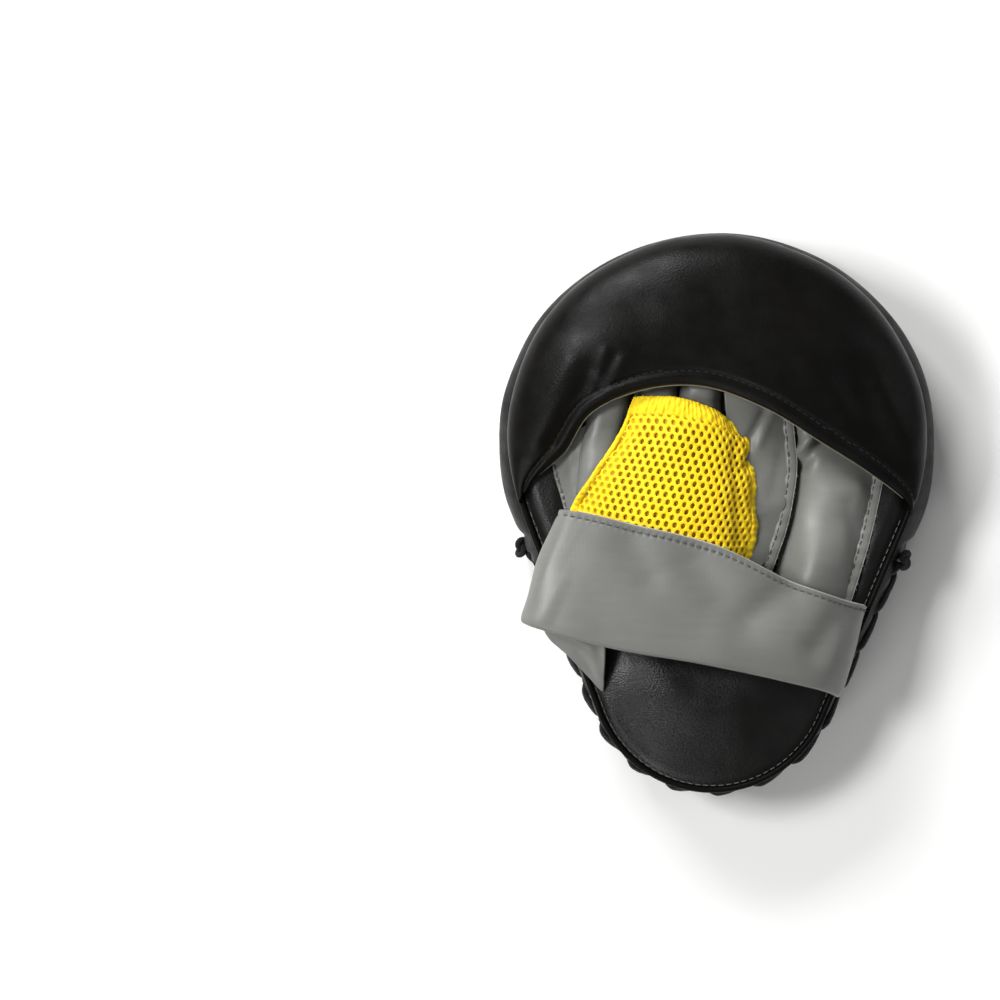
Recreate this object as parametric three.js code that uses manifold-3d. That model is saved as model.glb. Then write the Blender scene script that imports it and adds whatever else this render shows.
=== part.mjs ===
// A left-hand focus mitt (punch pad), lying on its striking face with the hand side up.
// Millimetres. +Z points out of the back, where the hand goes in, and +Y to the fingertips.
// The origin is the centre of the round upper part, on the plane of the striking face.
import * as THREE from "three";
import { mergeVertices } from "three/addons/utils/BufferGeometryUtils.js";
import Module from "manifold-3d";

const wasm = await Module();
wasm.setup();

// ---------------------------------------------------------------- driving dimensions

// Each face's outline is a round upper part, two straight flanks and a round tip.
const FRONT = { halfWidth: 97, top: 93, tip: 56, drop: 98.4 };
const BACK = { halfWidth: 94, top: 90, tip: 55.5, drop: 104.4 };
const PAD_T = 44.2; // striking face to back panel
const GAP = 0.3; // between pieces that touch
const SKIN = 1.4; // synthetic leather
const TARGET_R = 40.5;
const TARGET_Y = -13.5;
const PIPING_R = 1.3;
const FOAM_LAYERS = [
  { name: "foam_striking_layer", thick: 12, inset: 3.5 },
  { name: "foam_core_layer", thick: 20, inset: 3.5 },
  { name: "foam_palm_layer", thick: 8, inset: 4.5 },
];
const WALL_BULGE = 5.2; // how far the side wall swells out between the two seams
const LACED_FROM = 0.283; // share of the outline where the lacing starts, on the left side
const LACED_TO = 1 - LACED_FROM;
const LACE_R = 1.5;
const LACE_HOLES = 15;
const LACE_HOLE_R = 2.9;
const FLAP_EDGE_FRONT = 16; // height of the front lacing flap's free edge
const FLAP_EDGE_BACK = 28; // height of the back lacing flap's free edge
const HOLE_INSET = 5; // hole centre from a flap's free edge
const HOOD_SHELL_T = 1.6;
const HOOD_FOAM_T = 3.6;
const HOOD_LINING_T = 1;
const HOOD_GAP = 0.8; // between the hood's curved layers
const STALL_T = 1.2;
const STRAP_T = 1.6;
const MESH_T = 2.4;
const HOOK_T = 1.2; // hook patch and loop patch

const Z = PAD_T + GAP; // what lies on the back panel starts here
const RIM_POINTS = 84;

// ---------------------------------------------------------------- colours

const finish = (color, roughness) =>
  new THREE.MeshStandardMaterial({ color, roughness, metalness: 0 });
const GREY_LEATHER = finish(0x8b8c87, 0.5);
const BLACK_LEATHER = finish(0x151515, 0.4);
const YELLOW_FILM = finish(0xfbd622, 0.45);
const YELLOW_MESH = finish(0xf2c81e, 0.85);
const BLACK_FOAM = finish(0x26262a, 0.95);
const GREY_FOAM = finish(0x6f6f70, 0.95);
const BLACK_CORD = finish(0x0d0d0d, 0.9);
const BLACK_LINING = finish(0x1c1c1e, 0.9);
const HOOK_AND_LOOP = finish(0x2a2a2b, 0.95);

const mitt = new THREE.Group();

function add(name, geometry, material) {
  const mesh = new THREE.Mesh(geometry, material);
  mesh.name = name;
  mitt.add(mesh);
}

// ---------------------------------------------------------------- the pad's outline

// From the top, down the left side, round the tip and up the right side.
function outline({ halfWidth, top, tip, drop }) {
  const lean = Math.asin((halfWidth - tip) / drop);
  const path = new THREE.Path();
  path.absellipse(0, 0, halfWidth, top, Math.PI / 2, Math.PI, false, 0);
  path.absarc(0, 0, halfWidth, Math.PI, Math.PI + lean, false);
  path.absarc(0, -drop, tip, Math.PI + lean, 2 * Math.PI - lean, false);
  path.absarc(0, 0, halfWidth, -lean, 0, false);
  path.absellipse(0, 0, halfWidth, top, 0, Math.PI / 2, false, 0);
  return path;
}

const frontOutline = outline(FRONT);
const backOutline = outline(BACK);

// The point at share `u` of the outline and height `z`, moved `out` along the outward normal.
function onRim(u, z, out) {
  const turn = ((u % 1) + 1) % 1;
  const share = z / PAD_T;
  const p = frontOutline.getPointAt(turn).lerp(backOutline.getPointAt(turn), share);
  const t = frontOutline.getTangentAt(turn);
  return new THREE.Vector3(p.x + t.y * out, p.y - t.x * out, z);
}

class RimCurve extends THREE.Curve {
  constructor(from, to, z, out) {
    super();
    Object.assign(this, { from, to, z, out });
  }
  getPoint(t) {
    return onRim(this.from + (this.to - this.from) * t, this.z, this.out);
  }
}

// ---------------------------------------------------------------- ways of making a solid

// A flat plate of the outline's shape, with a round hole given as [x, y, radius].
function plate(inset, z0, z1, hole) {
  const points = Array.from({ length: RIM_POINTS }, (_, i) => onRim(i / RIM_POINTS, (z0 + z1) / 2, -inset));
  const shape = new THREE.Shape(points.map((p) => new THREE.Vector2(p.x, p.y)));
  if (hole) shape.holes.push(new THREE.Path().absarc(...hole, 0, 2 * Math.PI, true));
  const settings = { depth: z1 - z0, bevelEnabled: false, curveSegments: 24 };
  return new THREE.ExtrudeGeometry(shape, settings).translate(0, 0, z0);
}

// A round cord of `sides` sides along a curve.
function cordAlong(curve, radius, steps, sides) {
  const turns = Array.from({ length: sides }, (_, i) => (2 * Math.PI * i) / sides);
  const corners = turns.map((a) => new THREE.Vector2(radius * Math.cos(a), radius * Math.sin(a)));
  const settings = { steps, extrudePath: curve, bevelEnabled: false };
  return new THREE.ExtrudeGeometry(new THREE.Shape(corners), settings);
}

const smooth = (points) => new THREE.CatmullRomCurve3(points.map((p) => new THREE.Vector3(...p)));

// A surface through rows of [x, y, z] points: u runs along a row and v from row to row.
function loft(rows) {
  const curves = rows.map(smooth);
  return (u, v) => new THREE.CatmullRomCurve3(curves.map((c) => c.getPoint(u))).getPoint(v);
}

// A closed solid of sheet, `thick` thick. Its upper face lies `below` under the surface.
function sheet(surface, thick, nu, nv, below = 0) {
  const STEP = 1e-3;
  const points = [];
  for (const depth of [below, below + thick]) {
    for (let j = 0; j <= nv; j++) {
      for (let i = 0; i <= nu; i++) {
        const u = i / nu;
        const v = j / nv;
        const p = surface(u, v);
        const du = surface(Math.min(1, u + STEP), v).sub(surface(Math.max(0, u - STEP), v));
        const dv = surface(u, Math.min(1, v + STEP)).sub(surface(u, Math.max(0, v - STEP)));
        points.push(p.addScaledVector(du.cross(dv).normalize(), -depth));
      }
    }
  }
  const layer = (nu + 1) * (nv + 1);
  const at = (i, j, k) => k * layer + j * (nu + 1) + i;
  const index = [];
  const quad = (a, b, c, d) => index.push(a, b, c, a, c, d);
  for (let j = 0; j < nv; j++) {
    for (let i = 0; i < nu; i++) {
      quad(at(i, j, 0), at(i + 1, j, 0), at(i + 1, j + 1, 0), at(i, j + 1, 0));
      quad(at(i, j, 1), at(i, j + 1, 1), at(i + 1, j + 1, 1), at(i + 1, j, 1));
    }
  }
  for (let i = 0; i < nu; i++) {
    quad(at(i, 0, 1), at(i + 1, 0, 1), at(i + 1, 0, 0), at(i, 0, 0));
    quad(at(i, nv, 0), at(i + 1, nv, 0), at(i + 1, nv, 1), at(i, nv, 1));
  }
  for (let j = 0; j < nv; j++) {
    quad(at(0, j, 0), at(0, j + 1, 0), at(0, j + 1, 1), at(0, j, 1));
    quad(at(nu, j, 1), at(nu, j + 1, 1), at(nu, j + 1, 0), at(nu, j, 0));
  }
  return new THREE.BufferGeometry().setFromPoints(points).setIndex(index);
}

function solidOf(geometry) {
  const bare = geometry.clone().deleteAttribute("normal").deleteAttribute("uv");
  const merged = mergeVertices(bare, 1e-4);
  const vertProperties = merged.getAttribute("position").array;
  const triVerts = new Uint32Array(merged.index.array);
  return new wasm.Manifold(new wasm.Mesh({ numProp: 3, vertProperties, triVerts }));
}

function geometryOf(solid) {
  const { vertProperties, triVerts } = solid.getMesh();
  return new THREE.BufferGeometry()
    .setAttribute("position", new THREE.BufferAttribute(vertProperties, 3))
    .setIndex(new THREE.BufferAttribute(triVerts, 1));
}

// ---------------------------------------------------------------- striking side and foam

// A ring of piping whose two ends meet at the tip.
const piping = (z, out) => cordAlong(new RimCurve(0.5, 1.4985, z, out), PIPING_R, RIM_POINTS, 6);

function strikingSide() {
  const window = [0, TARGET_Y, TARGET_R + GAP];
  add("striking_panel", plate(PIPING_R + GAP, 0, SKIN, window), GREY_LEATHER);
  const target = new THREE.CylinderGeometry(TARGET_R, TARGET_R, SKIN, 48).rotateX(Math.PI / 2);
  add("target_disc", target.translate(0, TARGET_Y, SKIN / 2), YELLOW_FILM);
  add("front_piping", piping(PIPING_R + GAP, 0), BLACK_LEATHER);
}

function foamCore() {
  const colours = [BLACK_FOAM, GREY_FOAM, BLACK_FOAM];
  let z = SKIN + GAP;
  FOAM_LAYERS.forEach(({ name, thick, inset }, i) => {
    add(name, plate(inset, z, z + thick), colours[i]);
    z += thick + GAP;
  });
}

function backSide() {
  add("back_panel", plate(PIPING_R + GAP, PAD_T - SKIN, PAD_T), BLACK_LEATHER);
  add("back_piping", piping(PAD_T - PIPING_R, 0), BLACK_LEATHER);
}

// ---------------------------------------------------------------- side wall and lacing

const WALL_Z0 = 2 * PIPING_R + 2 * GAP;
const WALL_Z1 = PAD_T - 2 * PIPING_R - GAP;
const HOLE_Z_FRONT = FLAP_EDGE_FRONT - HOLE_INSET;
const HOLE_Z_BACK = FLAP_EDGE_BACK + HOLE_INSET;

const wallOut = (z) => WALL_BULGE * Math.sin((Math.PI * z) / PAD_T) ** 0.7;

// The side wall's outer surface between two shares of the outline and two heights.
function wallSurface(from, to, z0, z1) {
  return (u, v) => {
    const z = z0 + (z1 - z0) * v;
    return onRim(from + (to - from) * u, z, wallOut(z));
  };
}

// The share of the outline at lacing hole i.
const holeAt = (i) => LACED_FROM + ((LACED_TO - LACED_FROM) * (i + 0.5)) / LACE_HOLES;

function lacingFlap(name, z0, z1, holeZ) {
  let flap = solidOf(sheet(wallSurface(LACED_FROM, LACED_TO, z0, z1), SKIN, 48, 3));
  for (let i = 0; i < LACE_HOLES; i++) {
    const punch = new THREE.CylinderGeometry(LACE_HOLE_R, LACE_HOLE_R, 16, 8).rotateZ(Math.PI / 2);
    const near = onRim(holeAt(i), holeZ, 0);
    const far = onRim(holeAt(i), holeZ, 1);
    punch.rotateZ(Math.atan2(far.y - near.y, far.x - near.x)).translate(near.x, near.y, holeZ);
    flap = flap.subtract(solidOf(punch));
  }
  add(name, geometryOf(flap), BLACK_LEATHER);
}

function sideWall() {
  const gusset = wallSurface(LACED_TO + 0.002, 1 + LACED_FROM - 0.002, WALL_Z0, WALL_Z1);
  add("upper_gusset", sheet(gusset, SKIN, 44, 6), BLACK_LEATHER);
  lacingFlap("front_lacing_flap", WALL_Z0, FLAP_EDGE_FRONT, HOLE_Z_FRONT);
  lacingFlap("back_lacing_flap", FLAP_EDGE_BACK, WALL_Z1, HOLE_Z_BACK);
}

const CLEAR = LACE_R + 0.7; // lace centre from the face of the flap that it lies on
const SLANT = 0.16; // share of the pitch by which the lace has turned just outside a hole

// The lace goes in at a front hole, up behind both flaps, out at the back hole and slants on to the next.
function laceCurve() {
  const outside = (u, z) => onRim(u, z, wallOut(z) + CLEAR);
  const inside = (u, z) => onRim(u, z, wallOut(z) - SKIN - CLEAR);
  const through = (u, z) => onRim(u, z, wallOut(z) - SKIN / 2);
  const turn = SLANT * (holeAt(1) - holeAt(0));
  const points = [outside(holeAt(0) - turn, HOLE_Z_FRONT)];
  for (let i = 0; i < LACE_HOLES; i++) {
    const u = holeAt(i);
    if (i) points.push(outside(u - turn, HOLE_Z_FRONT + 1.4));
    points.push(through(u, HOLE_Z_FRONT), inside(u, HOLE_Z_FRONT + 2.6));
    points.push(inside(u, HOLE_Z_BACK - 2.6), through(u, HOLE_Z_BACK));
    if (i < LACE_HOLES - 1) points.push(outside(u + turn, HOLE_Z_BACK - 1.4));
  }
  points.push(outside(holeAt(LACE_HOLES - 1) + turn, HOLE_Z_BACK));
  return new THREE.CatmullRomCurve3(points, false, "centripetal");
}

// A knot: a squashed lump with its flat side to the wall.
function knot(u, z) {
  const at = onRim(u, z, wallOut(z) + CLEAR + 0.6);
  const outward = at.clone().sub(onRim(u, z, 0));
  const lump = new THREE.SphereGeometry(1, 12, 8).scale(2.6, 4.2, 3.4);
  return lump.rotateZ(Math.atan2(outward.y, outward.x)).translate(at.x, at.y, at.z);
}

function lacing() {
  const turn = SLANT * (holeAt(1) - holeAt(0));
  const first = knot(holeAt(0) - 2 * turn, HOLE_Z_FRONT);
  const last = knot(holeAt(LACE_HOLES - 1) + 2 * turn, HOLE_Z_BACK);
  const cord = solidOf(cordAlong(laceCurve(), LACE_R, 260, 6));
  add("lace", geometryOf(cord.add(solidOf(first)).add(solidOf(last))), BLACK_CORD);
}

// ---------------------------------------------------------------- finger hood

// The hood's free edge, from its right end to its left end: [x, y, height above the back panel].
const HOOD_EDGE = [
  [90, -25, 3.5],
  [76, -12.5, 15],
  [50, 4, 25],
  [22, 20, 30.5],
  [-10, 29.5, 31],
  [-38, 26, 29],
  [-60, 15, 24],
  [-73, -5, 14],
  [-87, -20, 3.5],
];
const HOOD_FROM = 0.748 - 1; // share of the outline at the hood's right end
const HOOD_TO = 0.252; // and at its left end
const hoodEdge = smooth(HOOD_EDGE.map(([x, y, h]) => [x, y, Z + h]));

// u runs from the right end to the left end, and v from the seam to the free edge.
function hoodSurface(u, v) {
  const seam = onRim(HOOD_FROM + (HOOD_TO - HOOD_FROM) * u, PAD_T, 0.6).setZ(Z + 0.4);
  const edge = hoodEdge.getPoint(u);
  const rise = (edge.z - Z) * 1.02 + 3 * Math.sin(Math.PI * u);
  const shoulder = onRim(HOOD_FROM + (HOOD_TO - HOOD_FROM) * u, PAD_T, 2.5).setZ(Z + 0.8 * rise);
  const crown = seam.clone().lerp(edge, 0.36).setZ(Z + 1.2 * rise);
  return new THREE.CubicBezierCurve3(seam, shoulder, crown, edge).getPoint(v);
}

// The part of the hood that keeps `ends` clear at both ends, `seam` at the seam and `edge` at the free edge.
const hoodPart = (ends, seam, edge) => (u, v) =>
  hoodSurface(ends + (1 - 2 * ends) * u, seam + (1 - seam - edge) * v);

function hoodEdgeBinding() {
  const bead = Array.from({ length: 21 }, (_, i) => {
    const u = 0.03 + (0.94 * i) / 20;
    const edge = hoodSurface(u, 1);
    const away = edge.clone().sub(hoodSurface(u, 0.96)).normalize();
    return edge.addScaledVector(away, 2.5).setZ(edge.z - 1.3);
  });
  add("hood_edge_binding", cordAlong(new THREE.CatmullRomCurve3(bead), 1.9, 36, 6), BLACK_LEATHER);
}

function fingerHood() {
  const foamTop = HOOD_SHELL_T + HOOD_GAP;
  const liningTop = foamTop + HOOD_FOAM_T + HOOD_GAP;
  add("hood_shell", sheet(hoodSurface, HOOD_SHELL_T, 32, 8), BLACK_LEATHER);
  add("hood_foam", sheet(hoodPart(0.08, 0.08, 0.06), HOOD_FOAM_T, 24, 6, foamTop), BLACK_FOAM);
  add("hood_lining", sheet(hoodPart(0.1, 0.12, 0.02), HOOD_LINING_T, 24, 6, liningTop), BLACK_LINING);
  hoodEdgeBinding();
}

// ---------------------------------------------------------------- hand compartment

const LINING_T = 0.9;
const LINING_CORNERS = [[-60, -64], [20, -66], [27, 20], [20, 62], [-20, 66], [-52, 42], [-60, 4]];
const ON_LINING = Z + LINING_T + GAP;

function palmLining() {
  const shape = new THREE.Shape(LINING_CORNERS.map(([x, y]) => new THREE.Vector2(x, y)));
  const lining = new THREE.ExtrudeGeometry(shape, { depth: LINING_T, bevelEnabled: false });
  add("palm_lining", lining.translate(0, 0, Z), BLACK_LINING);
}

// Corners of an arch that stands on the ground line, from its right foot to its left foot.
function arch(half, top) {
  const round = Math.min(half, top);
  const bend = Array.from({ length: 9 }, (_, i) => (Math.PI * i) / 8);
  const over = bend.map((a) => [half * Math.cos(a), top - round + round * Math.sin(a)]);
  return [[half, 0], ...over, [-half, 0]];
}

// A tunnel for one finger: an arch of sheet that runs along Y, open at both ends.
function fingerStall({ name, x, half, height, from, to }) {
  const section = [...arch(half, height), ...arch(half - STALL_T, height - STALL_T).reverse()];
  const shape = new THREE.Shape(section.map(([across, up]) => new THREE.Vector2(across, up)));
  const tunnel = new THREE.ExtrudeGeometry(shape, { depth: to - from, bevelEnabled: false });
  add(name, tunnel.rotateX(Math.PI / 2).translate(x, to, ON_LINING), GREY_LEATHER);
}

const FINGER_STALLS = [
  { name: "finger_stall_little", x: -49, half: 10, height: 16, from: -8, to: 40 },
  { name: "finger_stall_ring", x: -28.2, half: 10.4, height: 19.5, from: 26, to: 60 },
  { name: "finger_stall_middle", x: -7.4, half: 10, height: 20, from: 26, to: 66 },
  { name: "finger_stall_index", x: 12.6, half: 9.6, height: 19, from: 22, to: 62 },
];

// Rows of a soft panel's upper surface: [x, y, height above the back panel].
const raised = (rows) => loft(rows.map((row) => row.map(([x, y, h]) => [x, y, Z + h])));

const thumbSurface = raised([
  [[26, -49, 2], [31, -50, 11], [45, -52, 15], [59, -55, 10], [65, -57, 2]],
  [[31, -34, 2], [36, -33, 13], [49, -33, 17], [63, -35, 12], [69, -38, 2]],
  [[34.5, -14, 2], [39, -13, 14], [52, -13, 18], [66, -16, 12], [72, -18, 2]],
  [[34, 6, 2], [38, 6, 13], [48, 4, 17], [59, 0, 11], [65, -2, 2]],
]);

const knuckleSurface = raised([
  [[19.5, -58, 9], [22, -53, 5], [24, -49, 2.2]],
  [[21, -32, 9], [25.5, -33, 5], [29, -34, 2.2]],
  [[20, -12, 10], [27, -12, 6], [32, -12, 2.2]],
  [[17.5, 8, 12], [26, 10, 7], [31.5, 11, 2.2]],
  [[14, 18, 14], [24, 19, 8], [31, 19, 2.2]],
]);

const sideStripSurface = raised([
  [[-67, -40, 2], [-65, -38, 3], [-63, -36, 3.6]],
  [[-71, -26, 2], [-67, -23, 4.4], [-63.4, -20, 7]],
  [[-76, -11, 2], [-69, -7, 5.5], [-62.5, -3, 9]],
]);

const meshSurface = raised([
  [[-68, -49, 9], [-50, -53, 22], [-22, -57, 27], [4, -58, 22], [17, -56, 8]],
  [[-67, -34, 10], [-48, -37, 23], [-20, -40, 28], [6, -42, 22], [18, -43, 8]],
  [[-59, -14, 20], [-43, -14, 25], [-20, -14, 29], [6, -15, 23], [17.5, -16, 9]],
  [[-45, 6, 20], [-33, 8, 25], [-14, 8, 28], [2, 5, 22], [15, 1, 11]],
  [[-38, 19, 20], [-30, 19.5, 22], [-18, 19, 23], [-6, 16, 20], [8, 9, 13]],
]);

function handCompartment() {
  palmLining();
  FINGER_STALLS.forEach(fingerStall);
  add("thumb_stall", sheet(thumbSurface, STALL_T, 14, 8), GREY_LEATHER);
  add("knuckle_panel", sheet(knuckleSurface, STALL_T, 6, 8), GREY_LEATHER);
  add("side_strip", sheet(sideStripSurface, STALL_T, 4, 6), GREY_LEATHER);
  add("hand_mesh", sheet(meshSurface, MESH_T, 18, 12), YELLOW_MESH);
}

// ---------------------------------------------------------------- wrist strap

// Each row runs from the seam on the right to the fold on the left, at one place across the strap.
const strapSurface = raised([
  [[71, -73, 2.4], [63, -71, 15], [38, -63, 26], [0, -46, 32], [-40, -37, 32], [-71, -31, 29.5]],
  [[65, -94, 2.4], [58, -91, 16], [34, -84, 27], [-2, -72, 34], [-42, -64, 34], [-80, -58, 30]],
  [[59, -115, 2.4], [53, -113, 13], [32, -108, 24], [-4, -101, 32], [-44, -95, 32], [-87, -84, 29]],
]);

// The tab runs from its foot at the left seam up under the strap.
const tabSurface = raised([
  [[-55, -111.5, 1.8], [-52.8, -113.5, 1.8], [-50.5, -115.2, 1.8]],
  [[-66, -100, 4], [-58, -102, 7.5], [-50, -104, 9.5]],
  [[-76, -89, 8], [-63, -91.5, 12], [-50, -94, 14.5]],
  [[-80, -73, 9], [-66, -75, 14], [-52, -77, 17]],
  [[-75, -56, 8], [-64, -58, 13.5], [-54, -60, 17]],
]);

// The tail comes back from the fold, on top of the hook patch.
const tailSurface = raised([
  [[-87, -83.5, 26.5], [-80, -85, 19], [-66, -87.5, 18.5], [-53, -90, 22.5]],
  [[-84, -71, 27.5], [-78, -72.5, 20], [-66, -74.5, 20], [-54, -76, 23.5]],
  [[-79.5, -57, 27.5], [-74, -58.5, 20], [-65, -59.5, 20.5], [-56, -60.5, 24]],
]);

// A surface's part between the given shares of u and v.
const partOf = (surface, u0, u1, v0, v1) => (u, v) => surface(u0 + (u1 - u0) * u, v0 + (v1 - v0) * v);

function wristStrap() {
  add("strap_band", sheet(strapSurface, STRAP_T, 24, 6), GREY_LEATHER);
  const inner = partOf(strapSurface, 0.04, 0.97, 0.03, 0.97);
  add("strap_lining", sheet(inner, LINING_T, 22, 6, STRAP_T + GAP), BLACK_LINING);
  add("strap_tail", sheet(tailSurface, STRAP_T, 8, 6), GREY_LEATHER);
  const patch = partOf(tabSurface, 0.3, 0.95, 0.52, 0.96);
  add("hook_patch", sheet(patch, HOOK_T, 6, 6, -2 * (HOOK_T + GAP)), HOOK_AND_LOOP);
  add("loop_patch", sheet(patch, HOOK_T, 6, 6, -HOOK_T - GAP), HOOK_AND_LOOP);
  add("anchor_tab", sheet(tabSurface, STRAP_T, 6, 12), GREY_LEATHER);
}

strikingSide();
foamCore();
backSide();
sideWall();
lacing();
fingerHood();
handCompartment();
wristStrap();

export default mitt;
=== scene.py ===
"""The looks of a left-hand focus mitt, lying on its striking face with the hand side up.

Shapes are worked out in millimetres, in the row frame: +Z out of the back, +Y to the fingertips, +X to the
thumb side. Heights called `h` are above the back panel.
"""

import math

import bpy
import numpy as np
from mathutils import Matrix, Vector


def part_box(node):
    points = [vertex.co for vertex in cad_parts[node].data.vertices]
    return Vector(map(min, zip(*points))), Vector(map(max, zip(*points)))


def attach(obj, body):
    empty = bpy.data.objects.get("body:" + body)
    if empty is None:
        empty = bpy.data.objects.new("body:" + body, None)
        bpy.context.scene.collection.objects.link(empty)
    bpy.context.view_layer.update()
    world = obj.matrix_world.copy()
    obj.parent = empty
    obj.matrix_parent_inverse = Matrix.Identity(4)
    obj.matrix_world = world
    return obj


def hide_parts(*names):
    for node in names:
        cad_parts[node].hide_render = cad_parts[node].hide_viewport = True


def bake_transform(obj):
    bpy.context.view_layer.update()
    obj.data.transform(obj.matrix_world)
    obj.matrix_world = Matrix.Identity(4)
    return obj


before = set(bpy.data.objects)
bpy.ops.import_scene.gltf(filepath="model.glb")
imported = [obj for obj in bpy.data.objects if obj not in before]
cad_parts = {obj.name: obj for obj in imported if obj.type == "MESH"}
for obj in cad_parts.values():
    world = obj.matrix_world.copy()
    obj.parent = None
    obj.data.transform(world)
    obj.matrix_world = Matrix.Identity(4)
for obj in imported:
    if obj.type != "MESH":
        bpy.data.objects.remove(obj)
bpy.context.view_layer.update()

MM = 0.001
PAD_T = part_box("back_panel")[1].z / MM  # striking face to back panel
Z = PAD_T + 0.3  # what lies on the back panel starts here
UP = np.array([0.0, 0.0, 1.0])
COVER_T = 1.2  # thickness of the black leather
GREY_T = 1.1  # thickness of the grey leather
LINING_T = 0.7
SEAM_FRONT = 1.9  # height of the seam round the striking face
FRONT = {"half": 97, "top": 93, "tip": 56, "drop": 98.4}  # the striking face's outline
BACK = {"half": 94, "top": 90, "tip": 55.5, "drop": 104.4}  # the back's outline


# ---- curves and surfaces ----

def lengths(path):
    """The length of a path up to each of its points."""
    return np.concatenate([[0], np.cumsum(np.linalg.norm(np.diff(path, axis=0), axis=1))])


def curve(points, shares):
    """Points at shares 0 to 1 of a smooth curve that passes through `points`."""
    p = np.asarray(points, float)
    knots = lengths(p) / lengths(p)[-1]
    slope = np.gradient(p, knots, axis=0)
    t = np.clip(np.asarray(shares, float), 0, 1)
    i = np.clip(np.searchsorted(knots, t, side="right") - 1, 0, len(knots) - 2)
    width = (knots[i + 1] - knots[i])[:, None]
    s = (t - knots[i])[:, None] / width
    start = (1 + 2 * s) * (1 - s) ** 2 * p[i] + s * (1 - s) ** 2 * width * slope[i]
    end = s * s * (3 - 2 * s) * p[i + 1] + s * s * (s - 1) * width * slope[i + 1]
    return start + end


def loft(rows, across, along):
    """A grid of points, shape (along, across, 3), on the smooth surface through rows of [x, y, h] points."""
    raised = [np.asarray(row, float) + (0, 0, Z) for row in rows]
    lines = np.array([curve(row, np.linspace(0, 1, across)) for row in raised])
    columns = [curve(lines[:, i], np.linspace(0, 1, along)) for i in range(across)]
    return np.array(columns).transpose(1, 0, 2)


def unit(v):
    return v / np.maximum(np.linalg.norm(v, axis=-1, keepdims=True), 1e-9)


def normals(grid, wrap=False):
    """Unit normals of a grid of points. With `wrap`, the last column meets the first one."""
    wide = np.concatenate([grid[:, -1:], grid, grid[:, :1]], 1) if wrap else grid
    du = np.gradient(wide, axis=1)
    if wrap:
        du = du[:, 1:-1]
    return unit(np.cross(du, np.gradient(grid, axis=0)))


def lift(grid, height, wrap=False):
    """The grid moved along its normals by `height`, a number or one for each point."""
    return grid + normals(grid, wrap) * np.asarray(height)[..., None]


def fold(grid, start, end, width, height):
    """Heights of a soft fold along the line from `start` to `end`, seen from above."""
    a, b = np.array(start, float), np.array(end, float)
    along = (grid[..., :2] - a) @ (b - a) / ((b - a) @ (b - a))
    foot = a + np.clip(along, 0, 1)[..., None] * (b - a)
    away = np.linalg.norm(grid[..., :2] - foot, axis=-1)
    return height * bell(away, 0, width)


def folds(grid, table):
    return sum(fold(grid, *row) for row in table)


def unevenness(grid, size, height, seed):
    """Smooth bumps about `size` across: a sum of waves in fixed random directions."""
    draw = np.random.RandomState(seed)
    total = np.zeros(grid.shape[:-1])
    for _ in range(7):
        direction = unit(draw.normal(size=3)) * draw.uniform(0.6, 1.5)
        total += np.sin(grid @ direction * (2 * math.pi / size) + draw.uniform(0, 2 * math.pi))
    return total * height / 3.5


def bell(x, centre, width):
    return np.exp(-(((x - centre) / width) ** 2))


def smoothstep(x, low, high):
    t = np.clip((np.asarray(x, float) - low) / (high - low), 0, 1)
    return t * t * (3 - 2 * t)


def cloth(rows, across, along, creases, size, height, seed):
    """A surface through rows of [x, y, h] points, with creases and an unevenness."""
    grid = loft(rows, across, along)
    return lift(grid, folds(grid, creases) + unevenness(grid, size, height, seed))


def line_on(grid, share):
    """The line of points, and their normals, at a share of the way from the grid's first row to its last."""
    place = share * (len(grid) - 1)
    j = min(int(place), len(grid) - 2)
    part = place - j
    n = normals(grid)
    return grid[j] * (1 - part) + grid[j + 1] * part, unit(n[j] * (1 - part) + n[j + 1] * part)


# ---- the pad's outline ----

def outline(face):
    """Points at equal steps, from the top, down the left side, round the tip and up the right side."""
    lean = math.asin((face["half"] - face["tip"]) / face["drop"])
    half, top, tip = face["half"], face["top"], face["tip"]
    quarter = math.pi / 2
    arcs = [
        (0, half, top, quarter, 2 * quarter),
        (0, half, half, 2 * quarter, 2 * quarter + lean),
        (-face["drop"], tip, tip, 2 * quarter + lean, 4 * quarter - lean),
        (0, half, half, -lean, 0),
        (0, half, top, 0, quarter),
    ]
    points = []
    for cy, rx, ry, a0, a1 in arcs:
        a = np.linspace(a0, a1, 400)
        points.append(np.stack([rx * np.cos(a), cy + ry * np.sin(a)], 1))
    points = np.concatenate(points)
    length = lengths(points)
    even = np.linspace(0, length[-1], 2001)
    return np.stack([np.interp(even, length, points[:, k]) for k in (0, 1)], 1)


FRONT_LINE, BACK_LINE = outline(FRONT), outline(BACK)
SHARES = np.linspace(0, 1, len(FRONT_LINE))
OUTWARD = unit(np.gradient(FRONT_LINE, axis=0))[:, ::-1] * (1, -1)


def rim(u, z, out=0.0):
    """The point at share `u` of the outline and height `z`, moved `out` along the outward normal."""
    u, z, out = np.broadcast_arrays(np.asarray(u, float), z, out)
    turn = np.mod(u, 1)

    def at(table):
        return np.stack([np.interp(turn, SHARES, table[:, k]) for k in (0, 1)], -1)

    share = (z / PAD_T)[..., None]
    flat = at(FRONT_LINE) * (1 - share) + at(BACK_LINE) * share + unit(at(OUTWARD)) * out[..., None]
    return np.concatenate([flat, z[..., None]], -1)


WALL_BULGE = 5.6


def wall_out(z, u):
    """How far the side wall stands out at height z: most at the top of the pad, least at its tip."""
    bulge = WALL_BULGE * (1 + 0.5 * np.cos(2 * math.pi * u))
    return bulge * np.sin(math.pi * np.clip(z, 0, PAD_T) / PAD_T) ** 0.7


# ---- meshes ----

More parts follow.
